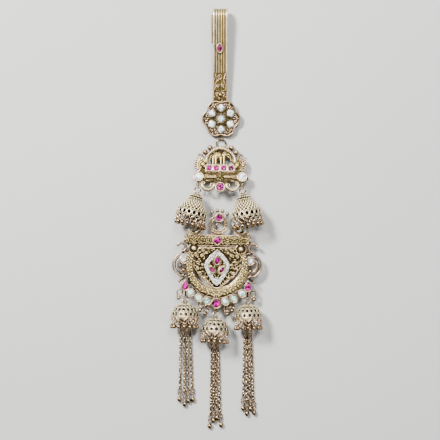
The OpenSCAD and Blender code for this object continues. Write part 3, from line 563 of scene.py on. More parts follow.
# ---- hook and roundel ----
def hook_scrolls():
    b = Build(HOOK)
    top = 6.65
    for s in (-1, 1):
        b.tube([(s * 2.6, -15.6, top), (s * 2.2, -17.4, top + 0.1), (s * 1.6, -18.8, top + 0.1),
                (s * 2.3, -20.6, top + 0.1), (s * 2.7, -22, top), (s * 2.3, -23.2, top)], 0.22)
        b.spiral((1.5, -25.7, top + 0.05), 1.1, 0.35, 150, 400, 0.2, s)
        b.spiral((1.1, -21.9, top + 0.05), 0.8, 0.3, -60, 380, 0.18, s)
        b.beads([(s * 2.75, -18.3, top), (s * 2.9, -27.3, top)], 0.42)
        for k in range(4):
            b.ball((s * (0.9 + 0.62 * k), -29.9 + 0.16 * k, top + 0.1), 0.36)
    b.arc((-0.2, -17.3, top + 0.1), 0.95, 0.16)
    b.beads(circle_points((0.2, -26.4, top + 0.1), 1.75, 14), 0.2)
    oval = [(1.5 * sin(radians(22.5 * i)), 2.35 * cos(radians(22.5 * i))) for i in range(16)]
    rim(b, oval, (-0.2, -3.2), 0, top + 0.7, 0.4)
    b.piece("hook_scrolls", WIRE)


def hook_ribs():
    """Lengthwise ribs and border wires that run over the strip and round its fold."""
    b = Build(HOOK)
    border = (-29, 0.3, FOLD_RADIUS - 0.02)
    rib = (-15.2, 0.26, FOLD_RADIUS + 0.1)
    lines = [(-3.37, *border)] + [(-3.03 + 1.212 * i, *rib) for i in range(6)] + [(3.37, *border)]
    for x, end, wire, reach in lines:
        strip = [(x, end + (FOLD_Y - end) * k / 12, FOLD_RADIUS + reach) for k in range(12)]
        fold = [(x, FOLD_Y + reach * sin(radians(15 * k)), FOLD_RADIUS + reach * cos(radians(15 * k)))
                for k in range(11)]
        b.tube(strip + fold, wire, 8)
    b.piece("hook_ribs", RIB)


def roundel_filigree():
    b = Build(HOOK @ Matrix.Translation((0.47, -38.1, 0)))
    face = 6.75
    lobe = [radians(68 * k / 3.3) for k in range(-3, 4)]
    outline = [turned(5.3 + 4.0 * cos(a), 4.0 * sin(a), 60 * i) for i in range(6) for a in lobe]
    b.tube([(x, y, face + 0.4) for x, y in outline], 0.44, closed=True)
    b.beads(line_points([(0.86 * x, 0.86 * y) for x, y in outline], 0.72, face), 0.24)
    for i in range(6):
        turn = 60 * i
        for side in (-1, 1):
            for x, y, r in ((4.6, 1.35, 0.55), (6.8, 1.5, 0.6)):
                b.arc((*turned(x, side * y, turn), face), r, 0.17, turn + 20, 300, 12)
        b.blob(polar((0, 0, face - 0.05), 6.5, turn), (0.85, 0.36, 0.4), turn)
        b.ball(polar((0, 0, face), 8.6, turn), 0.42)
        for a, r in ((-31, 6.6), (31, 6.6), (-17, 8.3), (17, 8.3), (-9, 7.4), (9, 7.4)):
            b.blob(polar((0, 0, face), r, turn + a), (0.62, 0.32, 0.36), turn + (40 if a > 0 else -40))
    b.beads(circle_points((0, 0, face + 0.25), 2.45, 18), 0.2)
    b.piece("roundel_filigree", WIRE)


hook_scrolls()
hook_ribs()
roundel_filigree()


# ---- upper plaque ----
ARCH_Y = 3.7
BAR_STONES_X = (-5.68, -2.03, 1.62, 5.27)
FLOWER_Y = -4.2
SCROLL_X, SCROLL_Y = 6.1, -7.9
SCROLL_RUBY_Y = -9.6
END_STONE_X, END_STONE_Y = 10.9, -4.3
PLUME_ANGLES = [70 - 15.5 * i for i in range(9)]


def plume(s, reach, angle, z):
    return mirrored(s, polar((8.5, 2.2, z), reach, angle))


def elephant(b):
    b.blob((-1.9, 6.9, 0.35), (2.7, 2.0, 1.25), 4, BIG_BALL)
    b.blob((2.5, 7.3, 0.45), (1.6, 1.55, 1.15), 0, BIG_BALL)
    b.blob((1.35, 7.0, 1.05), (0.75, 1.15, 0.5), 12)
    # trunk and tusk
    b.tube([(3.6, 7.6, 0.9), (4.5, 7.0, 0.9), (4.9, 5.9, 0.8), (5.0, 4.9, 0.8), (5.5, 4.1, 0.8), (6.1, 4.2, 0.8),
            (6.1, 4.8, 0.9)], [0.75, 0.62, 0.5, 0.42, 0.36, 0.32, 0.26], 8)
    b.tube([(3.5, 6.5, 1.1), (4.1, 5.9, 1.2), (4.5, 5.9, 1.3)], [0.22, 0.17, 0.1])
    # legs and tail
    for x in (-3.75, -2.35, 0.2, 1.75):
        b.tube([(x, 6.2, 0.45), (x + 0.05, 3.8, 0.5), (x, 2.1, 0.55)], [1.05, 0.66, 0.76], 8)
        b.blob((x + 0.1, 2.05, 0.65), (0.85, 0.36, 0.55))
    b.tube([(-4.4, 7.4, 0.5), (-5.1, 6.3, 0.5), (-5.2, 4.9, 0.5)], 0.2)
    # beaded edge of the saddle cloth, on the rounded body, and the headband
    for x, y, _ in line_points([(-3.3, 5.7), (-0.5, 5.7), (-0.5, 8.3), (-3.2, 8.4)], 0.55, 0):
        round_off = 1 - ((x + 1.9) / 2.7) ** 2 - ((y - 6.9) / 2.0) ** 2
        b.ball((x, y, 0.4 + 1.25 * sqrt(max(0.05, round_off))), 0.2)
    b.blob((-1.85, 7.05, 1.55), (0.6, 0.6, 0.25))
    b.tube([(3.0, 8.5, 1.3), (2.0, 8.6, 1.35), (1.4, 8.2, 1.4)], 0.2)


def peacock(b, s):
    top = UPPER_TOP
    for a in PLUME_ANGLES:
        b.blob(plume(s, 1.75, a, top + 0.15), (1.05, 0.34, 0.42), flipped(s, a))
        b.ball(plume(s, 4.45, a, 0.25), 0.42)
    b.arc((s * 8.5, 2.2, top + 0.2), 2.85, 0.22, flipped(s, 80), -150 * s)
    b.blob((s * 8.0, 1.3, top + 0.4), (0.9, 1.5, 0.7), -20 * s)
    b.tube([(s * 7.7, 2.2, top + 0.4), (s * 7.9, 3.9, top + 0.5), (s * 8.9, 5.2, top + 0.4),
            (s * 9.4, 6.4, top + 0.3)], [0.6, 0.45, 0.36, 0.3], 8)
    b.ball((s * 9.5, 6.8, top + 0.25), 0.5)
    b.spiral((6.6, 4.2, top + 0.1), 0.9, 0.3, 0, 400, 0.18, s)


def lower_row(b, s):
    """Leaf cone, scroll and small balls of one side, under the bar of rubies."""
    top = UPPER_TOP
    for k in range(6):
        for y in (-1, 1):
            b.blob((s * (2.6 + 1.15 * k), -4.25 + y * (0.35 + 0.07 * k), 1.05), (0.85, 0.36, 0.36), s * y * 24)
    b.tube([(s * 1.9, -4.2, 1.35), (s * 8.8, -4.35, 1.4)], [0.2, 0.34])
    for r, w in ((3.3, 0.3), (2.6, 0.16)):
        b.arc((s * SCROLL_X, SCROLL_Y, top + 0.35), r, w, 180, 180, 16)
    b.spiral((4.0, -8.4, top + 0.3), 1.15, 0.35, 200, -420, 0.22, s)
    b.spiral((8.3, -7.4, top + 0.2), 0.95, 0.3, -20, 400, 0.2, s)
    b.blob((s * 6.2, -6.2, top), (1.3, 0.45, 0.35))
    b.beads([(s * 5.4, -10.6, top), (s * 6.9, -10.6, top)], 0.38)
    b.beads(circle_points((s * END_STONE_X, END_STONE_Y, top + 0.85), 2.42, 22), 0.2)
    b.ball((s * 11.1, -7.5, 0.2), 0.72)


def upper_filigree():
    b = Build(UPPER)
    top = UPPER_TOP
    b.beads(circle_points((0, ARCH_Y, top + 0.62), 6.75, 46, -10, 200), 0.27)
    b.arc((0, ARCH_Y, top + 0.3), 7.25, 0.22, -8, 196)
    # a dark ring along the arch's inner edge: painted shade in the opening under the arch
    b.tone = 1
    b.arc((0, ARCH_Y, top + 0.1), 6.15, 0.34, -6, 192)
    b.tone = 0
    elephant(b)
    # frame of the bar of rubies
    for y in (-1.75, 1.95):
        b.tube([(-7.1, y, top + 0.25), (7.1, y, top + 0.25)], 0.25)
    for x in (-7.25, -3.86, -0.2, 3.45, 6.95):
        b.tube([(x, -1.8, top + 0.2), (x, 1.9, top + 0.2)], 0.2)
    for x in (-7.55, 7.55):
        b.beads([(x, -1.3 + 0.7 * k, top + 0.1) for k in range(5)], 0.3)
    for s in (-1, 1):
        peacock(b, s)
        lower_row(b, s)
    for k in range(8):
        b.blob(polar((0, FLOWER_Y, 1.0), 1.5, 45 * k), (0.7, 0.34, 0.4), 45 * k)
    b.ball((0, FLOWER_Y, 1.75), 0.62)
    b.tube([(12.9, -2.9, 0.4), (14.1, -5.4, 0.4), (12.2, -6.4, 0.4)], 0.3)
    b.beads(circle_points((0, SCROLL_RUBY_Y, top + 0.85), 2.35, 22), 0.2)
    b.piece("upper_filigree", (CAST, SHADE))


def upper_rims():
    b = Build(UPPER)
    top = UPPER_TOP
    for s in (-1, 1):
        for a, reach, r in ((54, 9.2, 1.35), (33, 9.3, 1.35), (70, 8.2, 0.65)):
            b.ball(mirrored(s, polar((0, ARCH_Y, 0.23), reach, a)), r, BIG_BALL)
        for a in PLUME_ANGLES:
            b.tube([plume(s, 3.0, a, top + 0.15), plume(s, 4.4, a, 0.35)], [0.2, 0.3])
            b.ball(plume(s, 4.45, a, 0.3), 0.46)
        b.arc((s * END_STONE_X, END_STONE_Y, top + 0.95), 2.3, 0.3)
        b.arc((s * SCROLL_X, SCROLL_Y, top + 0.45), 3.0, 0.2, 185, 170, 16)
    for x in BAR_STONES_X:
        rim(b, square_line(1.35, 0.3), (x, 0.2), 0, top + 0.95, 0.24)
    b.arc((0, SCROLL_RUBY_Y, top + 0.95), 2.25, 0.42)
    b.arc((0, ARCH_Y, top + 0.3), 7.4, 0.24, -6, 192)
    b.piece("upper_rims", WIRE)


upper_filigree()
upper_rims()


# ---- main plaque ----
SHIELD = [(8.6, 7.9), (12.9, 1.7), (12.1, -1.2), (9.6, -4.9), (6.75, -7.8), (3.4, -10.5), (1.6, -12), (0, -12.4)]
SHIELD_LINE = SHIELD + [(-x, y) for x, y in SHIELD[-2::-1]]
SPADE = [(0, 7.1), (3.3, 3.9), (5.7, 0.8), (6.4, -0.9), (5.7, -3.1), (3.9, -6.6), (1.8, -9.7), (0, -11)]
SPADE_LINE = SPADE + [(-x, y) for x, y in SPADE[-2:0:-1]]
SPADE_BALL_Y = -8.6
BAND = [(-16.7, 11), (-14.4, 13.4), (-9, 13.9), (9, 13.9), (14.4, 13.4), (16.7, 11), (14.6, 9.2), (9, 8.75),
        (-9, 8.75), (-14.6, 9.2)]
BAND_Y = 11.3
CRESCENT_Y = -0.8
CREST = (0.2, 19.4)
FAN_X, FAN_Y = 11.9, 17.5
BOSS_X, BOSS_Y = 11.7, 7.3
SIDE_PEARL_X, SIDE_PEARL_Y = 16.65, 1.35
ROW_STONES = [(-12.8, -14.7), (-8.73, -17.35), (-4.63, -18.75), (4.63, -18.75), (8.73, -17.35), (12.8, -14.7)]
# x, y, radius
SIDE_BALLS = [(15.8, 13.4, 0.96), (13, 4.25, 0.86), (13.85, 2.4, 0.71), (16.6, -3.65, 0.91), (16.8, -6.25, 0.91),
              (18.7, -9.25, 0.76)]
# x, y, outer radius, start angle, sweep
SHIELD_SPIRALS = [
    (4.5, 7.0, 0.7, 200, 330), (7.1, 6.6, 0.95, 10, -400), (7.6, 3.6, 1.1, 200, -400), (10.2, 3.5, 1.1, 60, 420),
    (9.7, 0.4, 1.15, 100, 400), (9.4, -2.5, 0.9, 90, -400), (8.1, -5.1, 0.85, 20, 400), (6.3, -7.3, 0.75, 120, 420),
    (4.3, -9.3, 0.7, 60, -400), (2.3, -11.1, 0.5, 60, -300), (7.4, -0.9, 0.75, 200, -380), (5.3, 5.1, 0.6, 0, 380),
    (1.7, 7.2, 0.55, 100, -360),
]
# x, y, turn, size
SHIELD_LEAVES = [
    (3.1, 7.4, 160, 0.6), (5.9, 7.4, 20, 0.7), (8.3, 7.2, -60, 0.6), (8.6, 5.4, -35, 0.9), (9.6, 5.6, 50, 0.8),
    (6.3, 4.6, 60, 0.7), (6.5, 2.2, -55, 0.9), (8.8, 2.0, 20, 0.8), (11.8, 1.2, -70, 0.9), (11.4, -0.9, 70, 0.9),
    (8.1, 0.7, 60, 0.7), (10.7, -1.3, -20, 0.7), (8.1, -2.6, -70, 0.9), (7.0, -2.4, 80, 0.7),
    (10.2, -3.6, 60, 0.7), (6.9, -4.3, 40, 0.8), (9.2, -4.7, -50, 0.7), (5.8, -5.2, -65, 0.8),
    (7.2, -6.5, -30, 0.6), (4.9, -6.9, -60, 0.8), (7.4, -7.0, 50, 0.6), (5.1, -8.3, 20, 0.6),
    (3.6, -8.5, -60, 0.8), (3.2, -10.2, -50, 0.7), (5.3, -9.2, 40, 0.5),
]
SPADE_LEAVES = [(2.6, 2.2, 40, 0.7), (3.6, -0.3, 75, 0.9), (1.1, -1.6, 60, 0.6), (2.2, -5.6, -50, 0.8),
                (0.8, -6.3, 75, 0.7), (1.5, 4.3, -50, 0.6), (0.6, -4.2, 80, 0.7)]
SHIELD_BALLS = [(9.5, 6.6), (11.9, 2.5), (8.9, -0.9), (6.0, -6.2), (8.4, -6.5), (3.9, 5.5), (10.9, 0.9), (2.7, 6.3)]


def spade(size):
    return [(size * x, size * y - 2.2 * (1 - size)) for x, y in SPADE_LINE]


# heights of the rounded faces
def crescent_top(radius):
    return TOP + 0.8 - (5.13 - sqrt(26.3 - min(7.6, (radius - 13.95) ** 2)))


def band_top(y):
    return TOP + 1 - (4.7 - sqrt(22.1 - min(8.4, (y - BAND_Y) ** 2)))


def flower(b, at, ground, reach, petals, size, turn):
    """Petals round a point; ground gives the height of the face at a point."""
    for k in range(petals):
        a = turn + 360 * k / petals
        x, y, _ = polar((*at, 0), reach, a)
        b.blob((x, y, ground(x, y) + 0.06), size, a)


def shield_scrolls(b):
    for s in (-1, 1):
        for x, y, r, start, sweep in SHIELD_SPIRALS:
            b.spiral((x, y, TOP + 0.3), r, 0.3, start, sweep, 0.34, s)
        for x, y, turn, size in SHIELD_LEAVES:
            b.blob((s * x, y, TOP + 0.25), (1.15 * size, 0.4, 0.52), flipped(s, turn))
        b.beads([(s * x, y, TOP + 0.35) for x, y in SHIELD_BALLS], 0.46)
        for x, y, turn, size in SPADE_LEAVES:
            b.blob((s * x, y, TOP + 0.25), (1.15 * size, 0.38, 0.5), flipped(s, turn))


def crescent_relief(b):
    """Flowers along the crescent with leaves between them, and the leaves over the lowest ruby."""
    def ground(x, y):
        return crescent_top(hypot(x, y - CRESCENT_Y))

    def leaf(reach, angle, lift, size, turn):
        x, y, _ = polar((0, CRESCENT_Y, 0), reach, angle)
        b.blob((x, y, ground(x, y) + lift), size, turn)

    last = 15
    for i in range(-3, last + 1):
        a = 196 + 148 * i / 12
        x, y, _ = polar((0, CRESCENT_Y, 0), 13.8, a)
        flower(b, (x, y), ground, 1.0, 7, (0.64, 0.4, 0.5), a)
        b.ball((x, y, TOP + 1.22), 0.6)
        if i == last:
            continue
        between = a + 6.17
        at_tip = i < 0 or i > 11
        for reach, lean in ((14.8 if at_tip else 15.05, 42), (12.8, -42)):
            for side in (-1, 1):
                f = between + side * 2.6
                leaf(reach, f, 0.25, (0.85, 0.36, 0.48), f + 90 + side * lean)
        leaf(13.95, between, 0.15, (0.95, 0.34, 0.4), between)
    for a in range(30, 151, 30):
        b.blob((1.9 * cos(radians(a)), -16.7 + 1.5 * sin(radians(a)), TOP + 0.75), (0.85, 0.3, 0.45), a)
    b.beads([(-1.1, -16.6, TOP + 0.6), (0, -16.75, TOP + 0.6), (1.1, -16.6, TOP + 0.6)], 0.45)


def band_relief(b):
    """Flowers along the band on both sides of its ruby, with leaves between them."""
    def ground(x, y):
        return band_top(y)

    def leaf(x, y, size, turn):
        b.blob((x, y, band_top(y) + 0.15), size, turn)

    ruby = 4
    for i in range(9):
        if i == ruby:
            continue
        x = -13.2 + 3.3 * i
        flower(b, (x, BAND_Y), ground, 1.3, 8, (0.64, 0.44, 0.5), 22)
        b.ball((x, BAND_Y, TOP + 1.2), 0.72)
        if i == ruby - 1:
            continue
        between = x + 1.65
        for m in (-1, 1):
            for t in (-1, 1):
                leaf(between + t * 0.52, BAND_Y + m * 1.45, (0.72, 0.32, 0.4), t * m * 50)
            y = BAND_Y + m * 2.1
            b.ball((between, y, band_top(y) + 0.2), 0.36)
    for s in (-1, 1):
        for x, y, turn in ((2.5, 12.8, 40), (2.5, 9.8, -40), (15.1, 12.2, -40), (15.1, 10.4, 40), (15.6, BAND_Y, 0)):
            leaf(s * x, y, (0.8, 0.36, 0.42), s * turn)


def drop_rims(b, z, middle, side):
    """Rims round the shield's three drops; middle and side are (how far outside the stone, wire)."""
    rim(b, drop_line(1.3, 2.05, middle[0]), (0, 1.7), 0, z, middle[1])
    for s in (-1, 1):
        rim(b, drop_line(0.95, 1.5, side[0]), (s * 2.55, -3.15), -35 * s, z, side[1])


def side_wires(b, s):
    """Curls, pearl rim and balls at one end of the band and crescent; the finer curls take painted shade, for the
    dark gaps between the thick ones.
    """
    # x, y, radius, wire, start angle, sweep, steps
    for x, y, r, wire, start, sweep, steps in (
        (16.25, -1, 5.75, 0.54, -98, 171, 24), (16.25, -1, 4.65, 0.33, -100, 160, 24),
        (16.25, -1, 3.5, 0.49, -108, 136, 24), (16.25, -1, 2.75, 0.18, -108, 130, 24),
        (17.85, 7.85, 2.2, 0.54, 22, 246, 18), (17.85, 7.85, 1.45, 0.2, 22, 246, 18),
    ):
        # the finer curls take the painted-shade material
        b.tone = 1 if wire < 0.4 else 0
        curl = [polar((x, y, 0), r, start + sweep * i / steps) for i in range(steps + 1)]
        b.tube([mirrored(s, point) for point in curl], wire, 8)
    b.tone = 0
    b.arc((s * SIDE_PEARL_X, SIDE_PEARL_Y, 0.9), 1.78, 0.24)
    b.arc((s * SIDE_PEARL_X, SIDE_PEARL_Y, 0.2), 2.3, 0.2)
    b.tube([(s * 12.4, 6.0, 0.5), (s * 14.6, 4.9, 0.4), (s * 16.4, 5.3, 0.3)], 0.34)
    for x, y, r in SIDE_BALLS:
        b.ball((s * x, y, 0.32), r, BIG_BALL)
    b.ball((s * 19.75, 8.85, 0.15), 0.82, BIG_BALL)


def main_filigree():
    b = Build(MAIN)
    shield_scrolls(b)
    crescent_relief(b)
    band_relief(b)
    for s in (-1, 1):
        for k in range(16):
            a = 203 + 134 * k / 15
            b.tube([polar((s * FAN_X, FAN_Y, TOP + 0.2), 2.5, a), polar((s * FAN_X, FAN_Y, TOP + 0.1), 4.1, a)],
                   0.18, 8)
        b.blob((s * 3.2, 14.4, TOP - 0.1), (1.3, 0.4, 0.4), -30 * s)
    b.beads(circle_points((*CREST, TOP + 0.05), 3.92, 32), 0.4)
    drop_rims(b, TOP + 0.45, (1.2, 0.34), (1.05, 0.3))
    b.piece("main_filigree", CHASED)


def main_rims():
    b = Build(MAIN)
    rim(b, SHIELD_LINE, (0, 0), 0, TOP + 0.25, 0.36)
    rim(b, BAND, (0, 0), 0, TOP + 0.15, 0.24)
    b.arc((0, -1.9, TOP + 0.1), 15.3, 0.3, -174, 168, 60)
    b.arc((0, -1.9, TOP + 0.25), 14.78, 0.13, -173, 166, 60)
    b.arc((0, 0.3, TOP + 0.12), 12.55, 0.24, -172, 164, 60)
    drop_rims(b, TOP + 1.0, (0.5, 0.42), (0.45, 0.34))
    for s in (-1, 1):
        rim(b, drop_line(1.9, 2.4, 0.3), (s * 15.6, -11.1), 0, TOP + 1.0, 0.32)
        b.arc((s * BOSS_X, BOSS_Y, TOP + 0.3), 2.55, 0.26)
        b.arc((s * FAN_X, FAN_Y, TOP + 0.1), 4.2, 0.26, 200, 140, 16)
        b.arc((s * FAN_X, FAN_Y, TOP + 0.15), 2.4, 0.2, 216, 108, 12)
        side_wires(b, s)
        b.beads([(s * 2.1, 14.1, TOP), (s * 5.0, 14.3, TOP)], 0.4)
    rim(b, square_line(1.4, 0.5), (0, BAND_Y), 45, TOP + 1.5, 0.38)
    for x, y in ROW_STONES:
        b.arc((x, y, TOP + 1.0), 1.98, 0.28)
    b.arc((0, -19.9, TOP + 1.1), 2.45, 0.36)
    for r, w in ((4.5, 0.34), (3.35, 0.3)):
        b.arc((*CREST, TOP + 0.1), r, w, 0, 360, 36)
    # the crest's balls and its setting, which lean a little
    b.matrix = MAIN @ Matrix.Translation((*CREST, 0)) @ spin(-6, "Z")
    for a in (57, 79, 101, 123):
        b.ball(polar((0, 0, 0.25), 6.9, a), 1.0, BIG_BALL)
        b.tube([polar((0, 0, TOP), 4.6, a), polar((0, 0, 0.4), 6.2, a)], 0.3)
    b.arc((0, 3.3, TOP + 1.1), 1.98, 0.4)
    b.arc((0, -0.2, 1.0), 0.72, 0.2)
    b.ball((0, -0.2, 1.15), 0.36)
    b.piece("main_rims", (WIRE, SHADE))


def main_bosses():
    """The two round bosses of the shield, in painted light, each with a dark ring of painted shade in its groove."""
    b = Build(MAIN)
    for s in (-1, 1):
        b.tone = 0
        b.ball((s * BOSS_X, BOSS_Y, 1.2), 1.55, BIG_BALL)
        b.beads(circle_points((s * BOSS_X, BOSS_Y, TOP + 1.9), 0.5, 4, 45), 0.26)
        # the dark ring: painted shade round the boss
        b.tone = 1
        b.arc((s * BOSS_X, BOSS_Y, TOP + 0.45), 1.95, 0.45)
    b.piece("main_bosses", (DOME, SHADE))


def pave():
    """The spade's ground with two rows of small stones, and a ball of them at its foot."""
    b = Build(MAIN)
    b.ribbon(spade(0.99), spade(0.73), TOP + 0.5, TOP + 0.78)
    rim(b, spade(1.0), (0, 0), 0, TOP + 0.7, 0.17)
    rim(b, spade(0.72), (0, 0), 0, TOP + 0.7, 0.15)
    b.blob((0, SPADE_BALL_Y, TOP - 0.3), (1.62, 1.62, 1.56), 0, BIG_BALL)
    b.piece("pave_ground", SILVER)

    b = Build(MAIN)
    for size in (0.925, 0.795):
        for point in line_points(spade(size), 0.86, TOP + 0.82):
            b.gem(point, 0.41, 0.3)
    for reach, count, z in ((0, 1, 1.8), (0.8, 6, 1.58), (1.5, 10, 0.95)):
        for point in circle_points((0, SPADE_BALL_Y, z), reach, count):
            b.gem(point, 0.38, 0.28)
    b.piece("pave_stones", CLEAR, slot="white_stone", smooth=False)


def drop_clusters():
    """Small beads beside each loose bead of the row."""
    b = Build()
    for s in (-1, 1):
        for x, y, lean, scale in ((4.9, -21.1, 10, 1.2), (8.3, -19.8, -6, 1), (17.9, -13.4, 12, 1.3)):
            start = MAIN @ Vector((s * x, y, 0))
            to = ring_far(start, 1.15 * scale, s * lean, start.z - 0.5)
            for u, v, w in ((-0.85, -0.3, -0.1), (0.85, -0.3, -0.1), (-0.95, 1.0, -0.2), (0.95, 1.1, -0.2)):
                b.ball((to.x + u * scale, to.y + v * scale, to.z + w), 0.5, BIG_BALL)
    b.piece("drop_clusters", BEAD, slot="dark_gold")


main_filigree()
main_rims()
main_bosses()
pave()
drop_clusters()


# ---- bells ----
# bright lattice gold, a ground of painted shade, and painted shade on the inner walls
BELL_LOOKS = (BELL_GOLD, BELL_SHADED_GROUND, SHADE)
CONE_CELLS = 18
# radius, height, count, bead
CONE_BEADS = [(1.8, -0.75, 14, 0.26), (2.0, -1.45, 14, 0.3), (3.2, -1.95, 22, 0.36), (3.3, -3.1, 22, 0.36),
              (4.0, -3.85, 30, 0.26), (6.95, -9.0, 48, 0.26), (7.5, -12.1, 52, 0.24)]
# radius, height, length of a grain
CONE_GRAINS = [(4.45, -4.6, 0.62), (5.0, -5.5, 0.68), (5.55, -6.4, 0.72), (6.05, -7.3, 0.76), (6.5, -8.2, 0.8)]
# angles from the dome's top, cells, offset, half sizes of a hole
DOME_BANDS = [((32, 41, 50), 15, 0, (0.7, 0.9)), ((51, 61, 71), 17, 0.5, (0.88, 1.02)),
              ((72, 81, 90), 17, 0, (0.98, 0.95))]


def spoke(hung, angle, reach, z, tip=0):
    """A frame on a bell's surface, at an angle round its axis, tipped about its own Y."""
    return hung @ spin(angle, "Z") @ Matrix.Translation((reach, 0, z)) @ spin(tip, "Y")


def hole_rim(b, x, wide, high, wire, steps):
    b.tube([(x, wide * cos(2 * pi * i / steps), high * sin(2 * pi * i / steps)) for i in range(steps)], wire,
           closed=True)


def axis_eye(b, z):
    b.upright_ring((0, 0, z), 0.6, 0.17, 0, 14)


def rim_eyes(b, count, radius, low, phase):
    for i in range(count):
        a = 360 * (i + phase) / count
        b.upright_ring(polar((0, 0, low), radius, a), 0.55, 0.16, a + 90, 12)


def dome_point(angle):
    """Radius and height of the dome at an angle from its top."""
    return DOME_RADIUS * sin(radians(angle)), -DOME_APEX - DOME_RADIUS * (1 - cos(radians(angle)))


def lower_bell(name, at, lean):
    """A dome of three pierced bands under a leafed cap, with scallops on its rim."""
    hung = hang(at, lean)
    b = Build(hung)
    cap = [dome_point(a) for a in (2, 10, 18, 26, 32)]
    inner = [(max(0.05, r - 0.35), z - 0.5) for r, z in reversed(cap)]
    # the cap's solid under its leaves takes the painted-shade ground
    b.tone = 1
    b.revolve([(0.05, cap[0][1] + 0.02)] + cap + inner + [(0.05, inner[-1][1])])
    b.tone = 0
    for angles, cells, offset, (wide, high) in DOME_BANDS:
        b.matrix = hung
        b.pierced([dome_point(a) for a in angles], cells, offset, (wide, high), BELL_WALL)
        r, z = dome_point(angles[1])
        for k in range(cells):
            b.matrix = spoke(hung, 360 * (k + offset) / cells, r, z, angles[1] - 90)
            hole_rim(b, 0.02, wide + 0.1, high + 0.08, 0.12, 12)
    b.matrix = hung
    for a, size in ((31, 0.32), (50.5, 0.22), (71.5, 0.22)):
        r, z = dome_point(a)
        b.beads(circle_points((0, 0, z), r, round(9 * r)), size)
    b.revolve([(6.75, -7.1), (6.85, -7.5), (6.75, -8.2), (6.1, -8.2), (6.1, -7.1)])
    b.arc((0, 0, -7.15), 6.86, 0.2, 0, 360, 44)
    for k in range(12):
        b.matrix = spoke(hung, 30 * k, 1.9, -0.78, 20)
        b.blob((0, 0, 0), (1.15, 0.42, 0.28))
    b.matrix = hung
    b.ball((0, 0, -0.75), 0.55)
    axis_eye(b, 0)
    axis_eye(b, -1.75)
    rim_eyes(b, DOME_HOOPS, DOME_RADIUS - BELL_WALL / 2, -DOME_LENGTH - 0.4, 0.5)
    b.piece(name + "_lattice", BELL_LOOKS, (name,))

    b = Build()
    for k in range(DOME_HOOPS):
        b.matrix = spoke(hung, 360 * (k + 0.5) / DOME_HOOPS, 6.75, -7.5)
        b.tube([(-0.2, -1.5, 0.1), (0, -0.75, -0.85), (0, 0, -1.75), (0, 0.75, -0.85), (-0.2, 1.5, 0.1)], 0.27)
        b.ball((0, 0, -1.75), 0.34)
    b.piece(name + "_scallops", WIRE)


def upper_bell(name, at, lean, phase):
    """A stepped cone with rows of grains over a band of large holes."""
    hung = hang(at, lean)
    b = Build(hung)
    # the cone's body and the band round its holes take the painted-shade ground; the grains, beads and rims over it
    # stay bright
    b.tone = 1
    b.revolve([(0.02, -0.65), (1.7, -0.65), (1.9, -1.4), (3.1, -1.9), (3.2, -3.1), (4.0, -3.9), (5.9, -7),
               (6.95, -9.1), (6.4, -9.3), (5.3, -7.1), (3.5, -4.2), (2.7, -3.7), (0.02, -3.7)])
    b.pierced([(6.9, -9.0), (7.5, -10.4), (7.5, -CONE_LENGTH)], CONE_CELLS, 0.5 + phase, (0.96, 1.2), BELL_WALL)
    b.tone = 0
    for k in range(CONE_CELLS):
        b.matrix = spoke(hung, 360 * (k + 0.5 + phase) / CONE_CELLS, 7.42, -10.6, -8)
        hole_rim(b, 0, 1.14, 1.3, 0.2, 16)
    b.matrix = hung
    for r, z, count, size in CONE_BEADS:
        b.beads(circle_points((0, 0, z), r, count), size)
    for row, (r, z, size) in enumerate(CONE_GRAINS):
        for k in range(22):
            b.matrix = spoke(hung, 360 * (k + 0.5 * (row % 2)) / 22, r, z, -31)
            b.blob((0, 0, 0), (0.3, 0.42, 0.95 * size))
    b.matrix = hung
    axis_eye(b, 0)
    axis_eye(b, -4.35)
    rim_eyes(b, CONE_HOOPS, CONE_RADIUS - BELL_WALL / 2, -CONE_LENGTH - 0.4, phase)
    b.piece(name + "_chased", BELL_LOOKS, (name,))


for side, at, lean, phase in zip(("left", "right"), CONE_EYES, UPPER_LEANS, CONE_PHASES):
    upper_bell("bell_upper_" + side, at, lean, phase)
for side, at, lean in zip(("left", "mid", "right"), DOME_EYES, LOWER_LEANS):
    lower_bell("bell_lower_" + side, at, lean)


# ---- jump rings ----
def ring_sleeves():
    """Thicker rings over the jump rings that hold the bells."""
    b = Build()
    rings = [(start, end, UPPER_RING) for start, end in zip(UPPER_EYES, CONE_EYES)]
    rings += [(start, end, LOWER_RING) for start, end in zip(MAIN_EYES, DOME_EYES)]
    for start, end, radius in rings:
        middle = (start + end) / 2
        along = (end - start).normalized()
        side = along.cross(Vector((0, 0, 1))).normalized()
        b.tube([middle + radius * (cos(pi * i / 10) * along + sin(pi * i / 10) * side) for i in range(20)],
               0.36, 8, True)
    b.piece("ring_sleeves", SLEEVE)


ring_sleeves()


# ---- tassel chains ----
CHAIN_STOP = 5.9
LINK_PITCH, LINK_HALF, LINK_WIDTH, LINK_WIRE = 1.45, 1.05, 0.5, 0.24
LINK_ROLL, LINK_TURN = 32, 20
# x and y of the end bead, x inside the bell, lift over the other chains, x of the chain's end
CHAINS = {
    "left": [(-3.2, -49.5, -2.5, 0, -2.9), (-0.6, -52, -0.8, 0, -0.6), (1.4, -50.3, 0.7, 0.7, 1.1),
             (3.6, -49.6, 2.4, 0, 3.2)],
    "mid": [(-3.1, -55.65, -2, 0, -2.5), (-1.2, -52.9, -1.1, 1.3, -1), (0.65, -51.6, -0.2, 0, 0.4),
            (2.6, -55.1, 1.3, 0, 2.1)],
    "right": [(-2.3, -53.4, -1.5, 0, -2.1), (-0.3, -56, -0.1, 0, -0.4), (1.5, -53.6, 0.9, 1.3, 1.2),
              (3.4, -55.6, 1.8, 0, 2.9)],
}


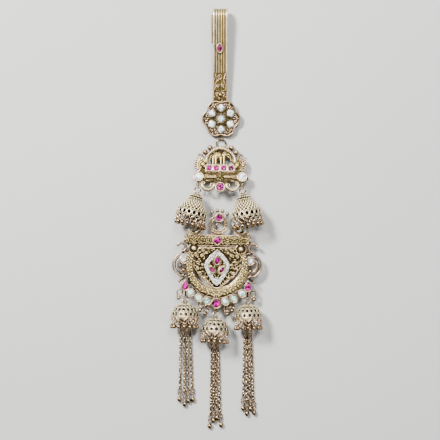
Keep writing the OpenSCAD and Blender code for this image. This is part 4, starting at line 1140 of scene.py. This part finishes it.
def chain_route(top, lean, row):
    """From inside the bell over its rim, down to the floor and along it."""
    _, bead_y, x, lift, end_x = row
    d = DOME_LENGTH
    stop = bead_y + CHAIN_STOP
    aside = x - (d + 4) * sin(radians(lean))
    over = 3.75 + 0.08 * aside * aside + lift
    low = 0.1 + CHAIN_RADIUS
    points = [
        (x, -3.3, 4.9 + lift), (x, -d - 2, over + 0.2), (x, -d - 5.3, over), (x, -d - 7.6, low + 1.3 + lift),
        (x, -d - 10, low + 0.1 + lift), (0.6 * x + 0.4 * end_x, 0.4 * stop - 0.6 * d - 5, low + 0.85 * lift),
        (end_x, stop, low),
    ]
    return [Vector((top.x + x, top.y + y, z)) for x, y, z in points]


def chain(links, shade_core, route):
    """Oval links, each turned from the last, along a route, over a dark core of painted shade."""
    lengths = lengths_along(route)
    count = int(lengths[-1] / LINK_PITCH)

    def at(s):
        i, f = locate(lengths, s)
        return route[i].lerp(route[i + 1], f)

    # a dark core under the links: painted shade seen through them
    shade_core.tube(route, 0.3)
    for i in range(count):
        s = (i + 0.5) * lengths[-1] / count
        along = (at(s + 0.5) - at(s - 0.5)).normalized()
        side = along.cross(Vector((0, 0, 1))).normalized()
        up = side.cross(along)
        flip = 1 if i % 2 else -1
        roll, turn = radians(LINK_ROLL * flip), radians(LINK_TURN * flip)
        along, side = cos(turn) * along + sin(turn) * side, cos(turn) * side - sin(turn) * along
        across = cos(roll) * side + sin(roll) * up
        link = []
        for k in range(12):
            a = pi * k / 6
            link.append(at(s) + LINK_HALF * cos(a) * along + LINK_WIDTH * sin(a) * across)
        links.tube(link, LINK_WIRE, closed=True)


def tassel(side, at, lean):
    """Four chains with their dark cores of painted shade, and two rings and a drop at the end of each."""
    links, shade_core, ends = Build(), Build(), Build(Matrix.Translation((at.x, at.y, 0)))
    for row in CHAINS[side]:
        chain(links, shade_core, chain_route(at, lean, row))
        bead_x, bead_y, _, _, end_x = row
        ends.tone = 1
        for down, r in ((4.9, 1.0), (3.1, 0.85)):
            x = bead_x + (end_x - bead_x) * (down - 2.2) / 3.4
            ends.arc((x, bead_y + down, 0.8), r, 0.24)
        ends.tone = 0
        ends.blob((bead_x, bead_y + 0.15, 1.15), (1.15, 1.45, 1.1), 0, BIG_BALL)
    shade_core.piece("tassel_shade_cores_" + side, SHADE, slot="dark_gold")
    ends.piece("tassel_ends_" + side, (BEAD, RING))
    links.piece("tassel_chains_" + side, CHAIN, ("tassel_" + side,), "dark_gold")


for side, at, lean in zip(("left", "mid", "right"), DOME_EYES, LOWER_LEANS):
    tassel(side, at, lean)


# ---- floor, lights and camera, in metres ----
def floor_plane(half, z):
    mesh = bpy.data.meshes.new("floor")
    mesh.from_pydata([(-half, -half, z), (half, -half, z), (half, half, z), (-half, half, z)], [], [(0, 1, 2, 3)])
    obj = bpy.data.objects.new("floor", mesh)
    bpy.context.scene.collection.objects.link(obj)
    m, tree, shader = material("floor")
    feed(tree, shader, {"Base Color": (0.44, 0.436, 0.424, 1), "Roughness": 0.75})
    mesh.materials.append(m)


def area_light(name, at, size, power):
    data = bpy.data.lights.new(name, "AREA")
    data.size = size
    data.energy = power
    obj = bpy.data.objects.new(name, data)
    obj.location = at
    obj.rotation_euler = (-Vector(at)).to_track_quat("-Z", "Y").to_euler()
    bpy.context.scene.collection.objects.link(obj)


floor_plane(4, -0.0001)
area_light("key", (-0.42, 0.42, 0.7), 0.2, 26)
area_light("top", (0.12, 0.3, 0.8), 0.2, 6)
area_light("back", (0.05, 0.85, 0.45), 0.35, 6)
area_light("fill", (0.6, -0.25, 0.7), 0.4, 3)
world = bpy.data.worlds.new("studio")
bpy.context.scene.world = world
world.use_nodes = True
feed(world.node_tree, world.node_tree.nodes["Background"], {"Color": (0.95, 0.96, 1, 1), "Strength": 0.05})

camera_data = bpy.data.cameras.new("camera")
camera_data.lens = 90
camera_data.sensor_width = 36
camera = bpy.data.objects.new("camera", camera_data)
camera.location = (0.00143, -0.00046, 0.554)
bpy.context.scene.collection.objects.link(camera)
bpy.context.scene.camera = camera
